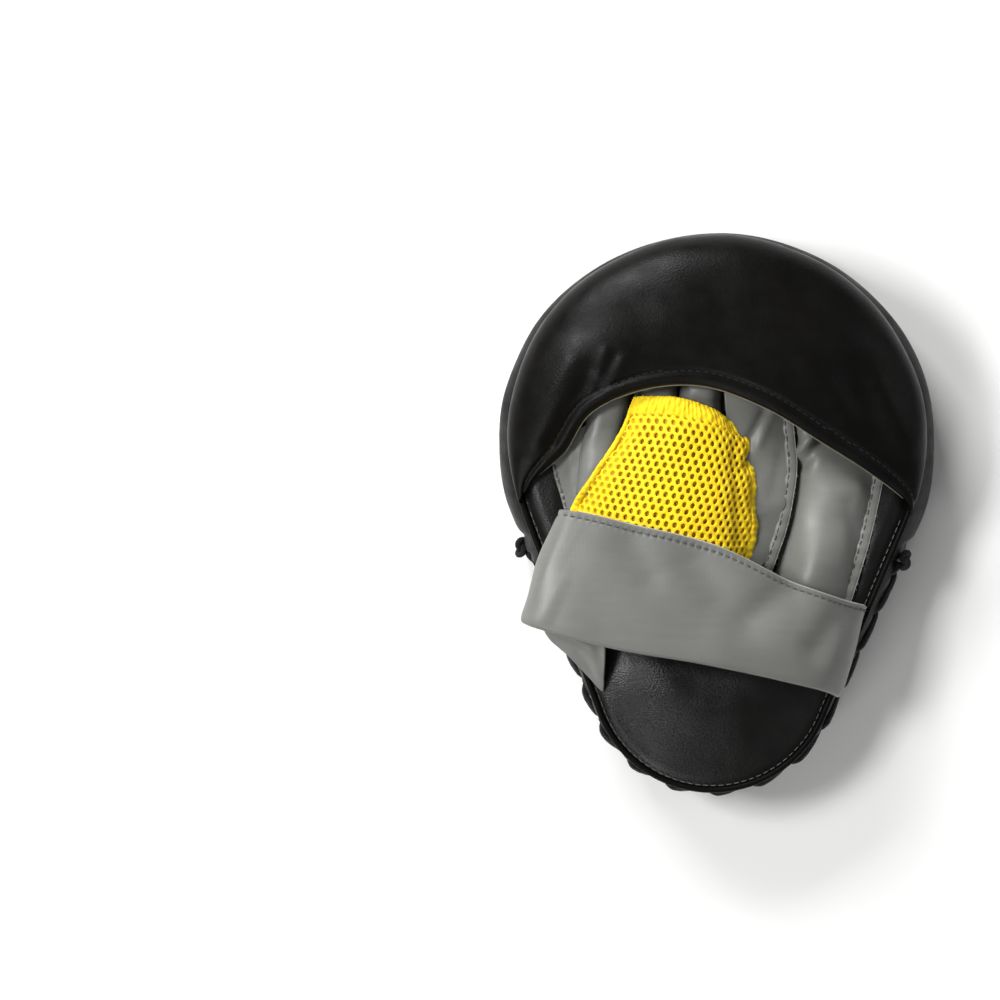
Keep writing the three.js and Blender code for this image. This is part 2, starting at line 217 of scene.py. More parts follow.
def quads(rows, columns, first=0, flip=False, wrap=False, ring=False):
    """The faces of a grid numbered row by row from `first`. `wrap` joins its sides and `ring` its ends."""
    index = np.arange(rows * columns).reshape(rows, columns) + first
    if wrap:
        index = np.concatenate([index, index[:, :1]], 1)
    if ring:
        index = np.concatenate([index, index[:1]])
    corners = index[:-1, :-1], index[:-1, 1:], index[1:, 1:], index[1:, :-1]
    faces = np.stack(corners, -1).reshape(-1, 4)
    return faces[:, ::-1] if flip else faces


def edge_loops(rows, columns, wrap):
    """The closed loops of (row, column) round a grid's edge, anticlockwise seen from above."""
    low = [(0, i) for i in range(columns)]
    high = [(rows - 1, i) for i in reversed(range(columns))]
    if wrap:
        return [low, high]
    right = [(j, columns - 1) for j in range(1, rows - 1)]
    left = [(j, 0) for j in reversed(range(1, rows - 1))]
    return [low + right + high + left]


def shell(grid, thick, below=0.0, wrap=False):
    """A closed solid of sheet with rounded edges. Its upper face lies `below` under the grid."""
    rows, columns = grid.shape[:2]
    n = normals(grid, wrap)
    top = grid - n * below
    bottom = top - n * thick
    count = rows * columns
    points = [top.reshape(-1, 3), bottom.reshape(-1, 3)]
    faces = [quads(rows, columns, 0, wrap=wrap), quads(rows, columns, count, flip=True, wrap=wrap)]
    first = 2 * count
    for loop in edge_loops(rows, columns, wrap):
        j, i = np.array(loop).T
        inner = np.clip(j, 1, rows - 2), (i if wrap else np.clip(i, 1, columns - 2))
        middle = (top[j, i] + bottom[j, i]) / 2
        points.append(middle + unit(top[j, i] - top[inner]) * thick * 0.4)
        mid = first + np.arange(len(loop))
        high = j * columns + i
        for a, b in ((high, mid), (mid, high + count)):
            faces.append(np.stack([a, b, np.roll(b, -1), np.roll(a, -1)], 1))
        first += len(loop)
    return np.concatenate(points), np.concatenate(faces)


def circle(count):
    return np.linspace(0, 2 * math.pi, count, endpoint=False)


def frames(path, closed):
    """Tangents and a steady side direction along a path."""
    ends = np.concatenate([path[-1:], path, path[:1]]) if closed else path
    tangent = np.gradient(ends, axis=0)
    tangent = unit(tangent[1:-1] if closed else tangent)
    side = np.zeros_like(path)
    side[0] = unit(np.cross(tangent[0], UP + (0.01, 0.02, 0)))
    for k in range(1, len(path)):
        side[k] = unit(side[k - 1] - tangent[k] * (side[k - 1] @ tangent[k]))
    return tangent, side


def tube(path, radius, sides=10, closed=False):
    """A closed solid cord along a path. `radius` is a number or one for each point."""
    tangent, side = frames(path, closed)
    up = np.cross(tangent, side)
    radii = np.broadcast_to(radius, len(path))[:, None, None]
    a = circle(sides)[None, :, None]
    rings = path[:, None] + radii * (np.cos(a) * side[:, None] + np.sin(a) * up[:, None])
    if closed:
        return rings.reshape(-1, 3), quads(len(path), sides, wrap=True, ring=True)
    tips = np.array([path[0] - tangent[0] * radii[0, 0] * 0.5, path[-1] + tangent[-1] * radii[-1, 0] * 0.5])
    points = np.concatenate([rings.reshape(-1, 3), tips])
    start = sides * len(path)
    tail = start - sides
    triangles = [(start, (i + 1) % sides, i) for i in range(sides)]
    triangles += [(start + 1, tail + i, tail + (i + 1) % sides) for i in range(sides)]
    return points, quads(len(path), sides, wrap=True).tolist() + triangles


def joined(solids):
    """Several (points, faces) solids as one."""
    points, faces, first = [], [], 0
    for p, f in solids:
        points.append(p)
        faces += [[int(v) + first for v in face] for face in f]
        first += len(p)
    return np.concatenate(points), faces


def new_object(name, data):
    obj = bpy.data.objects.new(name, data)
    bpy.context.scene.collection.objects.link(obj)
    return obj


def piece(name, solid, material, *nodes, body="mitt", slot=None):
    """A new object from one (points, faces) solid. It rides on `body`, if any, and stands for `nodes`."""
    points, faces = solid
    mesh = bpy.data.meshes.new(name)
    mesh.from_pydata((np.asarray(points) * MM).tolist(), [], [list(map(int, f)) for f in faces])
    mesh.validate()
    mesh.update()
    mesh.polygons.foreach_set("use_smooth", [True] * len(mesh.polygons))
    mesh.materials.append(material)
    obj = new_object(name, mesh)
    if body:
        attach(obj, body)
    if nodes:
        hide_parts(*nodes)
    return obj


def sheet(name, solid, material, *nodes, flat, rests_on, held="stretched", body="mitt", **more):
    """A piece that is one sheet of cloth or leather. `flat`, its size in metres when it is laid out, is not
    used.
    """
    obj = piece(name, solid, material, *nodes, body=body)


def evenly(path, spacing, *others):
    """The path at equal steps of about `spacing`, and any other rows of vectors taken at the same places."""
    length = lengths(path)
    count = max(2, int(round(length[-1] / spacing)) + 1)
    even = np.linspace(0, length[-1], count)
    taken = [np.stack([np.interp(even, length, v[:, k]) for k in range(3)], 1) for v in (path, *others)]
    return taken if others else taken[0]


STITCH = 3.6  # pitch of the topstitch
STITCH_LENGTH = 2.7


def stitches(path, up, radius=0.36):
    """One short rounded thread for each stitch along a line, sunk at both ends."""
    at, upward = evenly(path, STITCH, up)
    forward = unit(np.gradient(at, axis=0))
    upward = unit(upward - forward * np.sum(upward * forward, 1, keepdims=True))
    side = np.cross(upward, forward)
    along = np.array([-0.5, -0.4, -0.2, 0.2, 0.4, 0.5]) * STITCH_LENGTH
    thick = np.array([0.3, 0.8, 1, 1, 0.8, 0.3]) * radius
    high = np.array([-0.7, -0.05, 0.25, 0.25, -0.05, -0.7]) * radius
    a = circle(7)[None, :, None]
    solids = []
    for c, f, u, s in zip(at, forward, upward, side):
        spine = c + along[:, None] * f + high[:, None] * u
        ring = thick[:, None, None] * (np.cos(a) * s + np.sin(a) * u)
        points = (spine[:, None] + ring).reshape(-1, 3)
        faces = quads(6, 7, wrap=True).tolist() + [list(range(6, -1, -1)), list(range(35, 42))]
        solids.append((points, faces))
    return joined(solids)


# ---- materials ----

class Look:
    """A principled material, with short calls to add nodes to it."""

    def __init__(self, name, colour, roughness):
        self.colour = colour
        self.material = bpy.data.materials.new(name)
        self.material.use_nodes = True
        self.tree = self.material.node_tree
        self.shader = self.tree.nodes["Principled BSDF"]
        self.set("Base Color", (*colour, 1))
        self.set("Roughness", roughness)
        self.place = self.add("TexCoord").outputs["Object"]

    def give(self, socket, value):
        """Links an input to another node's output, or sets it to a constant."""
        if isinstance(value, bpy.types.NodeSocket):
            self.tree.links.new(value, socket)
        else:
            socket.default_value = value

    def set(self, name, value):
        self.give(self.shader.inputs[name], value)

    def add(self, kind, inputs=None, **settings):
        node = self.tree.nodes.new("ShaderNode" + kind)
        for key, value in settings.items():
            setattr(node, key, value)
        for key, value in (inputs or {}).items():
            self.give(node.inputs[key], value)
        return node

    def texture(self, kind, stretch, inputs):
        """A texture node at the object's own coordinates, stretched."""
        place = self.add("Mapping", {"Vector": self.place, "Scale": stretch}).outputs[0]
        return self.add(kind, {"Vector": place, **inputs})

    def noise(self, scale, detail=3.0, stretch=(1, 1, 1)):
        return self.texture("TexNoise", stretch, {"Scale": scale, "Detail": detail}).outputs["Fac"]

    def cells(self, scale, stretch=(1, 1, 1)):
        return self.texture("TexVoronoi", stretch, {"Scale": scale}).outputs["Distance"]

    def bands(self, axis, period, place=None):
        scale = 2 * math.pi / (20 * period)
        inputs = {"Vector": place or self.place, "Scale": scale, "Distortion": 0.6, "Detail": 1.0}
        settings = {"wave_type": "BANDS", "bands_direction": axis, "wave_profile": "SIN"}
        return self.add("TexWave", inputs, **settings).outputs["Fac"]

    def span(self, value, low, high, from_low, from_high):
        inputs = {"Value": value, "From Min": from_low, "From Max": from_high, "To Min": low, "To Max": high}
        return self.add("MapRange", inputs).outputs["Result"]

    def maths(self, operation, a, b):
        return self.add("Math", {0: a, 1: b}, operation=operation).outputs[0]

    def plus(self, height, *others):
        """A height with other (height, weight) pairs added to it."""
        for other, weight in others:
            height = self.maths("ADD", height, self.maths("MULTIPLY", other, weight))
        return height

    def paint(self, share, dark, light):
        """The base colour goes from `dark` to `light` times the material's colour with a share."""
        node = self.add("ValToRGB", {"Fac": share})
        for stop, factor in zip(node.color_ramp.elements, (dark, light)):
            stop.color = (*scaled(self.colour, factor), 1)
        self.set("Base Color", node.outputs["Color"])

    def relief(self, height, depth, under=None):
        self.set("Normal", self.bump(height, depth, under))

    def rough(self, scale, detail, roughness, spread):
        """The roughness varies in patches, from `spread` below it to a little more above it."""
        patches = self.noise(scale, detail)
        self.set("Roughness", self.span(patches, roughness - spread, roughness + spread + 0.02, 0.3, 0.7))

    def bump(self, height, depth, under=None):
        """Bump of `depth` millimetres at strength 1, over the bump `under` it. Returns its normal."""
        inputs = {"Height": height, "Strength": 1.0, "Distance": depth * MM}
        if under:
            inputs["Normal"] = under
        return self.add("Bump", inputs).outputs["Normal"]


def srgb(*rgb):
    """A colour given as screen values from 0 to 255."""
    shares = [c / 255 for c in rgb]
    return tuple(c / 12.92 if c <= 0.04045 else ((c + 0.055) / 1.055) ** 2.4 for c in shares)


def scaled(colour, factor):
    return tuple(np.minimum(1.0, np.multiply(colour, factor)))


def grained_leather(name, colour, roughness, grain, depth, shine):
    """Synthetic leather with a pebble grain: cells of about `grain` millimetres."""
    look = Look(name, colour, roughness)
    look.paint(look.span(look.noise(22, 4), 0, 1, 0.3, 0.7), 0.86, 1.14)
    pebbles = look.cells(1000 / grain, (0.75, 1.3, 1))
    height = look.plus(pebbles, (look.cells(2300 / grain), 0.4), (look.noise(700 / grain, 2), 0.3))
    look.rough(90, 5, roughness, 0.07)
    look.relief(height, depth, look.bump(look.noise(60, 2), 0.1))
    look.set("Specular IOR Level", shine)
    return look.material


def coated_cloth(name, colour, roughness, axis, period=0.85, depth=0.05):
    """Smooth synthetic leather whose woven backing shows through as fine lines along one direction."""
    look = Look(name, colour, roughness)
    tone = look.plus(look.noise(14, 3), (look.noise(260, 3, (0.25, 1.6, 1)), 0.35))
    look.paint(look.span(tone, 0, 1, 0.42, 0.95), 0.88, 1.12)
    cross = look.bands("X" if axis == "Y" else "Y", 0.7 * period * MM)
    height = look.plus(look.bands(axis, period * MM), (cross, 0.45), (look.noise(1500, 2), 0.8))
    look.rough(70, 4, roughness, 0.05)
    look.relief(height, depth, look.bump(look.noise(45, 2), 0.35))
    return look.material


def woven(name, colour, period, depth=0.12):
    """Plain woven cloth: two crossed sets of threads."""
    look = Look(name, colour, 0.85)
    threads = look.maths("MAXIMUM", look.bands("X", period * MM), look.bands("Y", period * MM))
    # painted shade and light: darker in the gaps between the threads and lighter on them, from the bump's own
    # height
    look.paint(threads, 0.6, 1.15)
    look.relief(threads, depth)
    look.set("Sheen Weight", 0.25)
    return look.material


def yarn(name, colour, roughness, crinkle=0.0, deep=(0.8, 0.8, 0.8)):
    """Knitted or spun yarn with fine fibres and crinkles. Its colour goes to `deep` times its own where the
    fibres and crinkles are low: painted shade in the yarn's hollows.
    """
    look = Look(name, colour, roughness)
    fibres = look.noise(1600, 4, (1, 0.3, 1))
    crinkles = look.noise(520, 3, (1, 0.55, 1))
    tone = look.plus(look.maths("MULTIPLY", fibres, 0.5), (crinkles, 0.5))
    # painted shade: darker where the fibres and crinkles, the same noises as the bump, are low
    look.paint(look.span(tone, 0, 1, 0.34, 0.62), deep, 1.1)
    look.relief(fibres, 0.16, look.bump(crinkles, crinkle))
    look.set("Sheen Weight", 0.12)
    look.set("Specular IOR Level", 0.25)
    return look.material


def foam(name, colour):
    look = Look(name, colour, 0.9)
    look.paint(look.noise(800, 4), 0.7, 1.3)
    look.relief(look.cells(900), 0.25)
    return look.material


def braid(name, colour):
    """Braided cord: two sets of strands that cross, drawn along the cord's own length and girth."""
    look = Look(name, colour, 0.62)
    along = look.add("UVMap").outputs["UV"]
    turned = [look.add("Mapping", {"Vector": along, "Rotation": (0, 0, a)}) for a in (0.75, -0.75)]
    height = look.maths("MAXIMUM", *[look.bands("X", 0.0011, node.outputs[0]) for node in turned])
    # painted shade and highlight: darker between the strands and lighter on them, from the bump's own height
    look.paint(height, 0.5, 2.2)
    look.relief(height, 0.3)
    look.set("Sheen Weight", 0.05)
    look.set("Specular IOR Level", 0.2)
    return look.material


def pile(name, colour, pitch):
    """Hook or loop tape: small tufts at a pitch in millimetres."""
    look = Look(name, colour, 0.8)
    tufts = look.cells(1000 / pitch)
    # painted highlight and shade: lighter on the raised tufts and darker between them, from the bump's own
    # cells
    look.paint(tufts, 1.8, 0.5)
    look.relief(look.maths("SUBTRACT", 1.0, tufts), 0.5)
    look.set("Sheen Weight", 0.3)
    return look.material


GREY = srgb(150, 151, 146)
BLACK = srgb(17, 16, 15)
YELLOW = srgb(252, 226, 44)
MESH_YELLOW = srgb(255, 220, 26)

LEATHER_FACE = coated_cloth("grey_face_leather", GREY, 0.5, "Y")
LEATHER_GREY = coated_cloth("grey_soft_leather", scaled(GREY, 0.53), 0.42, "X", 0.6, 0.014)
LEATHER_BLACK = grained_leather("black_grained_leather", scaled(BLACK, 0.8), 0.36, 0.85, 0.1, 0.34)
LEATHER_HOOD = grained_leather("black_hood_leather", scaled(BLACK, 0.7), 0.34, 0.85, 0.06, 0.12)
LEATHER_SIDE = grained_leather("black_side_leather", scaled(BLACK, 0.7), 0.42, 1.0, 0.08, 0.05)
TARGET_FILM = coated_cloth("yellow_target_film", YELLOW, 0.42, "Y", 0.85, 0.035)
# painted shade: the golden colour that the yellow yarn takes in its hollows
GOLD_HOLLOW_SHADE = (0.97, 0.78, 0.42)
MESH_YARN = yarn("yellow_mesh_yarn", MESH_YELLOW, 0.6, 0.1, GOLD_HOLLOW_SHADE)
RIM_YARN = yarn("yellow_crinkled_rim", MESH_YELLOW, 0.6, 0.5, GOLD_HOLLOW_SHADE)
# painted shade: the cloth behind the holes is a darker, olive copy of the mesh's yellow
SHADED_MESH_INSIDE = yarn("mesh_inside", srgb(186, 166, 36), 0.85, 0.2, GOLD_HOLLOW_SHADE)
CORD = braid("black_braided_cord", srgb(15, 15, 15))
THREAD_GREY = yarn("grey_thread", srgb(88, 88, 84), 0.6)
# painted highlight: the pale line along the hood's rounded free edge
EDGE_HIGHLIGHT_THREAD = yarn("pale_edge_highlight", srgb(122, 119, 100), 0.6)
THREAD_BLACK = yarn("black_thread", srgb(22, 21, 20), 0.7)
RAW_EDGE = woven("raw_cut_edge", srgb(168, 168, 162), 0.5, 0.1)
LINING = woven("black_lining", srgb(30, 30, 31), 0.55)
FOAM_BLACK = foam("black_foam", srgb(42, 42, 44))
FOAM_GREY = foam("grey_foam", srgb(52, 52, 53))
HOOK_TAPE = pile("hook_tape", srgb(38, 38, 38), 1.5)
LOOP_TAPE = pile("loop_tape", srgb(44, 44, 44), 0.9)


# ---- striking face ----

TARGET_R = 40.5
TARGET_Y = -13.5
AROUND = 360  # points round the pad
CENTRE = (0.0, -40.0)  # where the back's spokes meet


def striking_face():
    """The grey face, flat in the middle and rolled up to its seam, round a hole for the target."""
    u = np.arange(AROUND) / AROUND
    seam = rim(u, SEAM_FRONT, -1.2)
    angle = np.arctan2(seam[:, 1] - TARGET_Y, seam[:, 0])
    hole = np.stack([np.cos(angle), np.sin(angle)], 1) * (TARGET_R + 0.25) + (0, TARGET_Y)
    share = np.array([0, 0.01, 0.05, 0.12, 0.2, 0.3, 0.4, 0.5, 0.6, 0.7, 0.78, 0.84, 0.88, 0.91, 0.94,
                      0.965, 0.985, 1])[:, None]
    flat = hole[None] * (1 - share[..., None]) + seam[None, :, :2] * share[..., None]
    inward = np.linalg.norm(flat - seam[None, :, :2], axis=-1)
    rise = SEAM_FRONT * (1 - smoothstep(inward, 0, 5)) ** 1.6
    gather = 0.14 * bell(inward, 3, 3) * (1 + np.sin(u * 2 * math.pi * 118))
    z = rise + gather * smoothstep(inward, 0, 2) + 0.12 * (share < 0.005)
    solid = shell(np.concatenate([flat, z[..., None]], -1), GREY_T, wrap=True)
    piece("striking_face", solid, LEATHER_FACE, "striking_panel")
    edge = rim(np.linspace(0, 1, AROUND * 3), 0.55, -4.2)
    thread = stitches(edge, np.broadcast_to(-UP, edge.shape), 0.3)
    piece("striking_face_stitches", thread, THREAD_BLACK)


def target():
    """The film disc welded into the face, with its edge turned up a little."""
    radii = np.concatenate([np.linspace(0.03, TARGET_R - 0.6, 24), [TARGET_R - 0.2, TARGET_R]])[:, None]
    a = -np.arange(180) / 180 * 2 * math.pi
    x, y = radii * np.cos(a), radii * np.sin(a) + TARGET_Y
    z = np.where(radii > TARGET_R - 0.3, (radii - TARGET_R + 0.3) * 0.5, 0.0) * np.ones_like(x)
    solid = shell(np.stack([x, y, z], -1)[::-1], 1.2, wrap=True)
    across = 2 * TARGET_R * MM
    sheet("target_film", solid, TARGET_FILM, "target_disc", flat=(across, across), rests_on="striking_face")


def seams():
    """Piping round the front and the back of the pad, with the stitch line beside it."""
    u = np.linspace(0, 1, 480, endpoint=False)
    for side, z, radius in (("front", SEAM_FRONT, 1.35), ("back", PAD_T - 1.2, 1.45)):
        piping = tube(rim(u, z, 0.1), radius, 10, True)
        piece(f"{side}_seam_piping", piping, LEATHER_SIDE, f"{side}_piping")
    tip = rim(np.linspace(0.262, 0.738, 900), PAD_T + 0.1, -2.1)
    thread = stitches(tip, np.broadcast_to(UP, tip.shape), 0.22)
    piece("back_seam_stitches", thread, THREAD_GREY, slot="black_leather")


# ---- side wall and lacing ----

LACED_FROM = 0.283  # share of the outline where the lacing starts, on the left side
LACED_TO = 1 - LACED_FROM
LACE_HOLES = 15
LACED_LENGTH = 292.0  # along the wall
LACE_R = 1.5
LACE_GIRTH = 9.4
LACE_STEP = 0.8  # between the cord's rings
KNOT_SIZE = 1.3
FLAP_EDGE_FRONT = 16
FLAP_EDGE_BACK = 28
HOLE_INSET = 5
HOLE_Z_FRONT = FLAP_EDGE_FRONT - HOLE_INSET
HOLE_Z_BACK = FLAP_EDGE_BACK + HOLE_INSET
HOLE_R = 2.3
PITCH = (LACED_TO - LACED_FROM) / LACE_HOLES


def gusset():
    """The side wall round the upper part, swollen between its seams and drawn into small pleats."""
    u = np.linspace(LACED_TO - 0.004, 1 + LACED_FROM + 0.004, 420)[None, :]
    z = np.linspace(1.2, PAD_T - 0.8, 40)[:, None]
    grid = rim(u, z + 0 * u, wall_out(z, u) + 0.3)
    middle = np.sin(math.pi * (z - 1.2) / (PAD_T - 2))
    pleats = 0.35 * np.sin(2 * math.pi * u * 96 + 2.5 * np.sin(u * 31)) * (1 - middle) * np.sin(u * 57) ** 2
    end = np.minimum(u - LACED_TO, 1 + LACED_FROM - u)
    tuck = -1.6 * bell(end, 0.006, 0.004) * middle
    grid = lift(grid, pleats + unevenness(grid, 46, 0.55, 4) * middle + tuck)
    solid = shell(grid, COVER_T)
    sheet("side_wall", solid, LEATHER_SIDE, "upper_gusset", flat=(0.455, 0.050), rests_on="back_cover")


def square_round_hole(count):
    """Points round a square from -1 to 1, `count` on each side, and the angle of each."""
    t = np.linspace(-1, 1, count, endpoint=False)
    one = np.ones_like(t)
    sides = [(t, -one), (one, t), (-t, one), (-one, -t)]
    x = np.concatenate([s[0] for s in sides])
    y = np.concatenate([s[1] for s in sides])
    return x, y, np.arctan2(y, x)


PUNCHED_T = 1.1  # thickness of the flaps and of the mesh


def thick_sheet(points, faces, outward):
    """One closed solid from the faces of a sheet with holes: equal points joined, and walls at every edge."""
    _, first, index = np.unique(np.round(points, 2), axis=0, return_index=True, return_inverse=True)
    top, outward = points[first], outward[first]
    faces = index.reshape(-1)[np.asarray(faces)]
    count = len(top)
    edges = np.concatenate([np.stack([faces[:, k], np.roll(faces, -1, 1)[:, k]], 1) for k in range(4)])
    codes = edges[:, 0] * count + edges[:, 1]
    open_edges = edges[~np.isin(codes, edges[:, 1] * count + edges[:, 0])]
    a, b = open_edges.T
    walls = np.stack([b, a, a + count, b + count], 1)
    bottom = top - outward * PUNCHED_T
    return np.concatenate([top, bottom]), np.concatenate([faces, faces[:, ::-1] + count, walls])


def flap(name, node, z_low, z_high, hole_z, at_top):
    """A lacing flap with a punched hole at every turn of the lace. Its free edge is drawn in between them."""
    x, y, angle = square_round_hole(8)
    length = LACED_LENGTH / LACE_HOLES
    points, outward, faces = [], [], []
    rings = np.array([0.0, 0.1, 0.25, 0.45, 0.7, 1.0])[:, None]
    for hole in range(LACE_HOLES):
        at = LACED_FROM + PITCH * (hole + 0.5)
        outer_z = hole_z + np.where(y < 0, y * (hole_z - z_low), y * (z_high - hole_z))
        circle_u = at + HOLE_R * np.cos(angle) / length * PITCH
        circle_z = hole_z + HOLE_R * np.sin(angle)
        u = circle_u * (1 - rings) + (at + x * PITCH / 2) * rings
        z = circle_z * (1 - rings) + outer_z * rings
        cell = np.cos((u - at) / PITCH * 2 * math.pi)
        free = (z_high - z if at_top else z - z_low) / (z_high - z_low)
        near = 1 - smoothstep(free, 0, 0.5)
        z = z + near * 0.9 * cell * (1 if at_top else -1)
        lip = 0.5 * np.exp(-rings / 0.12) - 0.3 * near + 0.25 * np.sin(u * 410) * np.sin(u * 67)
        faces.append(quads(len(rings), len(x), len(points) * u.size, wrap=True, flip=True))
        points.append(rim(u, z, wall_out(z, u) + lip).reshape(-1, 3))
        outward.append(unit(rim(u, z, 1) - rim(u, z, 0)).reshape(-1, 3))
    solid = thick_sheet(*map(np.concatenate, (points, faces, outward)))
    sheet(name, solid, LEATHER_SIDE, node, flat=(0.300, 0.015), rests_on="lacing_cord")


def lace_route():
    """In at a front hole, up behind both flaps, out at the back hole and aslant over the wall to the next."""
    clear = LACE_R + 0.1

    def at(u, z, out):
        return rim(u, z, np.minimum(wall_out(z, u), 4.2) * 0.85 + out)

    inside, through = -1.2 - clear, -0.5
    first = LACED_FROM + PITCH / 2
    points = [at(first - 0.3 * PITCH, HOLE_Z_FRONT - 0.5, clear)]
    points.append(at(first - 0.14 * PITCH, HOLE_Z_FRONT, clear * 0.8))
    for i in range(LACE_HOLES):
        u = first + i * PITCH
        points += [at(u, HOLE_Z_FRONT, through), at(u, HOLE_Z_FRONT + 2.6, inside)]
        points += [at(u, HOLE_Z_BACK - 2.6, inside), at(u, HOLE_Z_BACK, through)]
        if i < LACE_HOLES - 1:
            for share in (0.14, 0.3, 0.5, 0.7, 0.86):
                z = HOLE_Z_BACK + (HOLE_Z_FRONT - HOLE_Z_BACK) * smoothstep(share, 0, 1)
                sunk = 0.8 if share in (0.14, 0.86) else 1
                points.append(at(u + share * PITCH, z, clear * sunk))
    points.append(at(u + 0.14 * PITCH, HOLE_Z_BACK, clear * 0.8))
    points.append(at(u + 0.3 * PITCH, HOLE_Z_BACK + 0.5, clear))
    return np.array(points)


def knot(centre, outward):
    """A pulled-tight overhand knot: a trefoil of cord squashed against the wall."""
    t = circle(90)
    local = np.stack([np.sin(t) + 2 * np.sin(2 * t), np.cos(t) - 2 * np.cos(2 * t), -1.1 * np.sin(3 * t)], 1)
    side = unit(np.cross(outward, UP))
    axes = np.array([side, UP * 0.8, outward]) * KNOT_SIZE
    return tube(centre + local @ axes, LACE_R * 0.95, 10, True)


def uv_along(obj, columns, length):
    """Lays a UV map along a tube: girth across and length along, both in metres."""
    layer = obj.data.uv_layers.new(name="along")
    rows = max(1, len(obj.data.vertices) // columns)
    for loop in obj.data.loops:
        row, column = divmod(loop.vertex_index, columns)
        layer.data[loop.index].uv = (column / columns * LACE_GIRTH * MM, row / rows * length)


def lacing():
    flap("front_flap", "front_lacing_flap", 1.3, FLAP_EDGE_FRONT, HOLE_Z_FRONT, True)
    flap("back_flap", "back_lacing_flap", FLAP_EDGE_BACK, PAD_T - 1.0, HOLE_Z_BACK, False)
    route = lace_route()
    path = evenly(curve(route, np.linspace(0, 1, 4000)), LACE_STEP)
    cord = tube(path, LACE_R, 12)
    knots = []
    for tip, before in ((route[0], route[1]), (route[-1], route[-2])):
        outward = unit(tip * (1, 1, 0) + (0, 50, 0))
        knots.append(knot(tip + unit(tip - before) * 1.6 + outward * 2.0, outward))
    obj = piece("lacing_cord", joined([cord, *knots]), CORD, "lace")
    uv_along(obj, 12, len(path) * LACE_STEP * MM)


# ---- back panel ----

BACK_DENTS = [  # here and below, a fold is its line from start to end, its width and its height
    ((40, -114), (30, -126), 9, -1.8), ((-6, -112), (24, -112), 7, -0.8),
    ((-40, -128), (-28, -146), 6, -0.4), ((40, -134), (28, -150), 5, -0.45),
]


def back_cover():
    """The black back, rolled down to its seam and crowned over the tip."""
    u = np.arange(AROUND) / AROUND
    seam = rim(u, PAD_T, -1.0)
    share = np.linspace(0, 1, 70) ** 0.8
    spokes = seam[:, :2] - CENTRE
    flat = CENTRE + spokes * share[:, None, None]
    flat[0] = CENTRE + spokes * 0.002
    inward = np.linalg.norm(flat - seam[None, :, :2], axis=-1)
    tip = smoothstep(-flat[..., 1], 60, 122)
    side = smoothstep(np.abs(flat[..., 0]), 62, 76) * smoothstep(-flat[..., 1], -30, 10) * (1 - tip)
    crown = 9.5 * tip * smoothstep(inward, -6, 46) + 2.6 * side * smoothstep(inward, 0, 9)
    z = PAD_T - 0.2 - 1.4 * (1 - smoothstep(inward, 0, 5)) + crown
    grid = np.concatenate([flat, z[..., None]], -1)
    dents = folds(grid, BACK_DENTS)
    grid[..., 2] += (dents + unevenness(grid, 30, 0.25, 8) * smoothstep(inward, 2, 12)) * tip
    solid = shell(grid[:, ::-1], COVER_T, wrap=True)
    piece("back_cover", solid, LEATHER_BLACK, "back_panel")


# ---- finger hood ----

HOOD_EDGE = [  # the free edge, from the right end to the left
    (90, -25, 3.5), (76, -12.5, 15), (50, 4, 25), (22, 20, 30.5), (-10, 29.5, 31),
    (-38, 26, 29), (-60, 15, 24), (-73, -5, 14), (-87, -20, 3.5),
]
HOOD_FROM, HOOD_TO = 0.748 - 1, 0.252  # shares of the outline at the two ends of its seam
HOOD_T = 6.4  # leather, padding and lining together


def hood_grid():
    """The hood's outer surface: columns from the right end to the left, rows from the seam to the edge."""
    u = np.linspace(0, 1, 320)
    v = np.linspace(0, 1, 110)[:, None, None]
    share = HOOD_FROM + (HOOD_TO - HOOD_FROM) * u
    edge = curve(np.array(HOOD_EDGE) + (0, 0, Z), u)
    rise = ((edge[:, 2] - Z) * 1.02 + 3 * np.sin(math.pi * u))[:, None]
    seam = rim(share, PAD_T, 0.6)
    seam[:, 2] = PAD_T - 0.6
    shoulder = rim(share, PAD_T, 4 + 22 * np.sin(math.pi * u) ** 1.2)
    shoulder[:, 2] = (Z + 0.8 * rise)[:, 0]
    crown = seam * 0.64 + edge * 0.36
    crown[:, 2] = (Z + 1.2 * rise)[:, 0]
    w = 1 - v
    return seam * w**3 + 3 * shoulder * w * w * v + 3 * crown * w * v * v + edge * v**3


HOOD_FOLDS = [
    ((-68, 36), (-84, 0), 7, 1.5), ((-59, 28), (-74, 0), 6, -1.3), ((-52, 42), (-58, 26), 2.6, 0.45),
    ((-48, 40), (-55, 24), 2.2, -0.4), ((-44, 38), (-51, 24), 2.6, 0.4), ((42, 38), (60, 14), 6, 0.9),
    ((62, 34), (73, 8), 8, -1.3), ((74, 30), (88, 2), 6, 1.3), ((-20, 60), (40, 52), 14, 0.8),
]
HEM = 4.6  # from the free edge to the hem's stitches


def hood_surface():
    """The hood's folded outer surface, and the distance of each of its points from the free edge."""
    outer = hood_grid()
    v = np.linspace(0, 1, len(outer))[:, None]
    calm = smoothstep(v, 0, 0.15) * (1 - 0.75 * smoothstep(v, 0.88, 1))
    outer = lift(outer, (folds(outer, HOOD_FOLDS) + unevenness(outer, 52, 0.5, 11)) * calm)
    reach = np.linalg.norm(outer - outer[-1:], axis=-1)
    return lift(outer, 0.35 * bell(reach, 1.8, 1.5) - 0.75 * bell(reach, HEM, 1.1)), reach


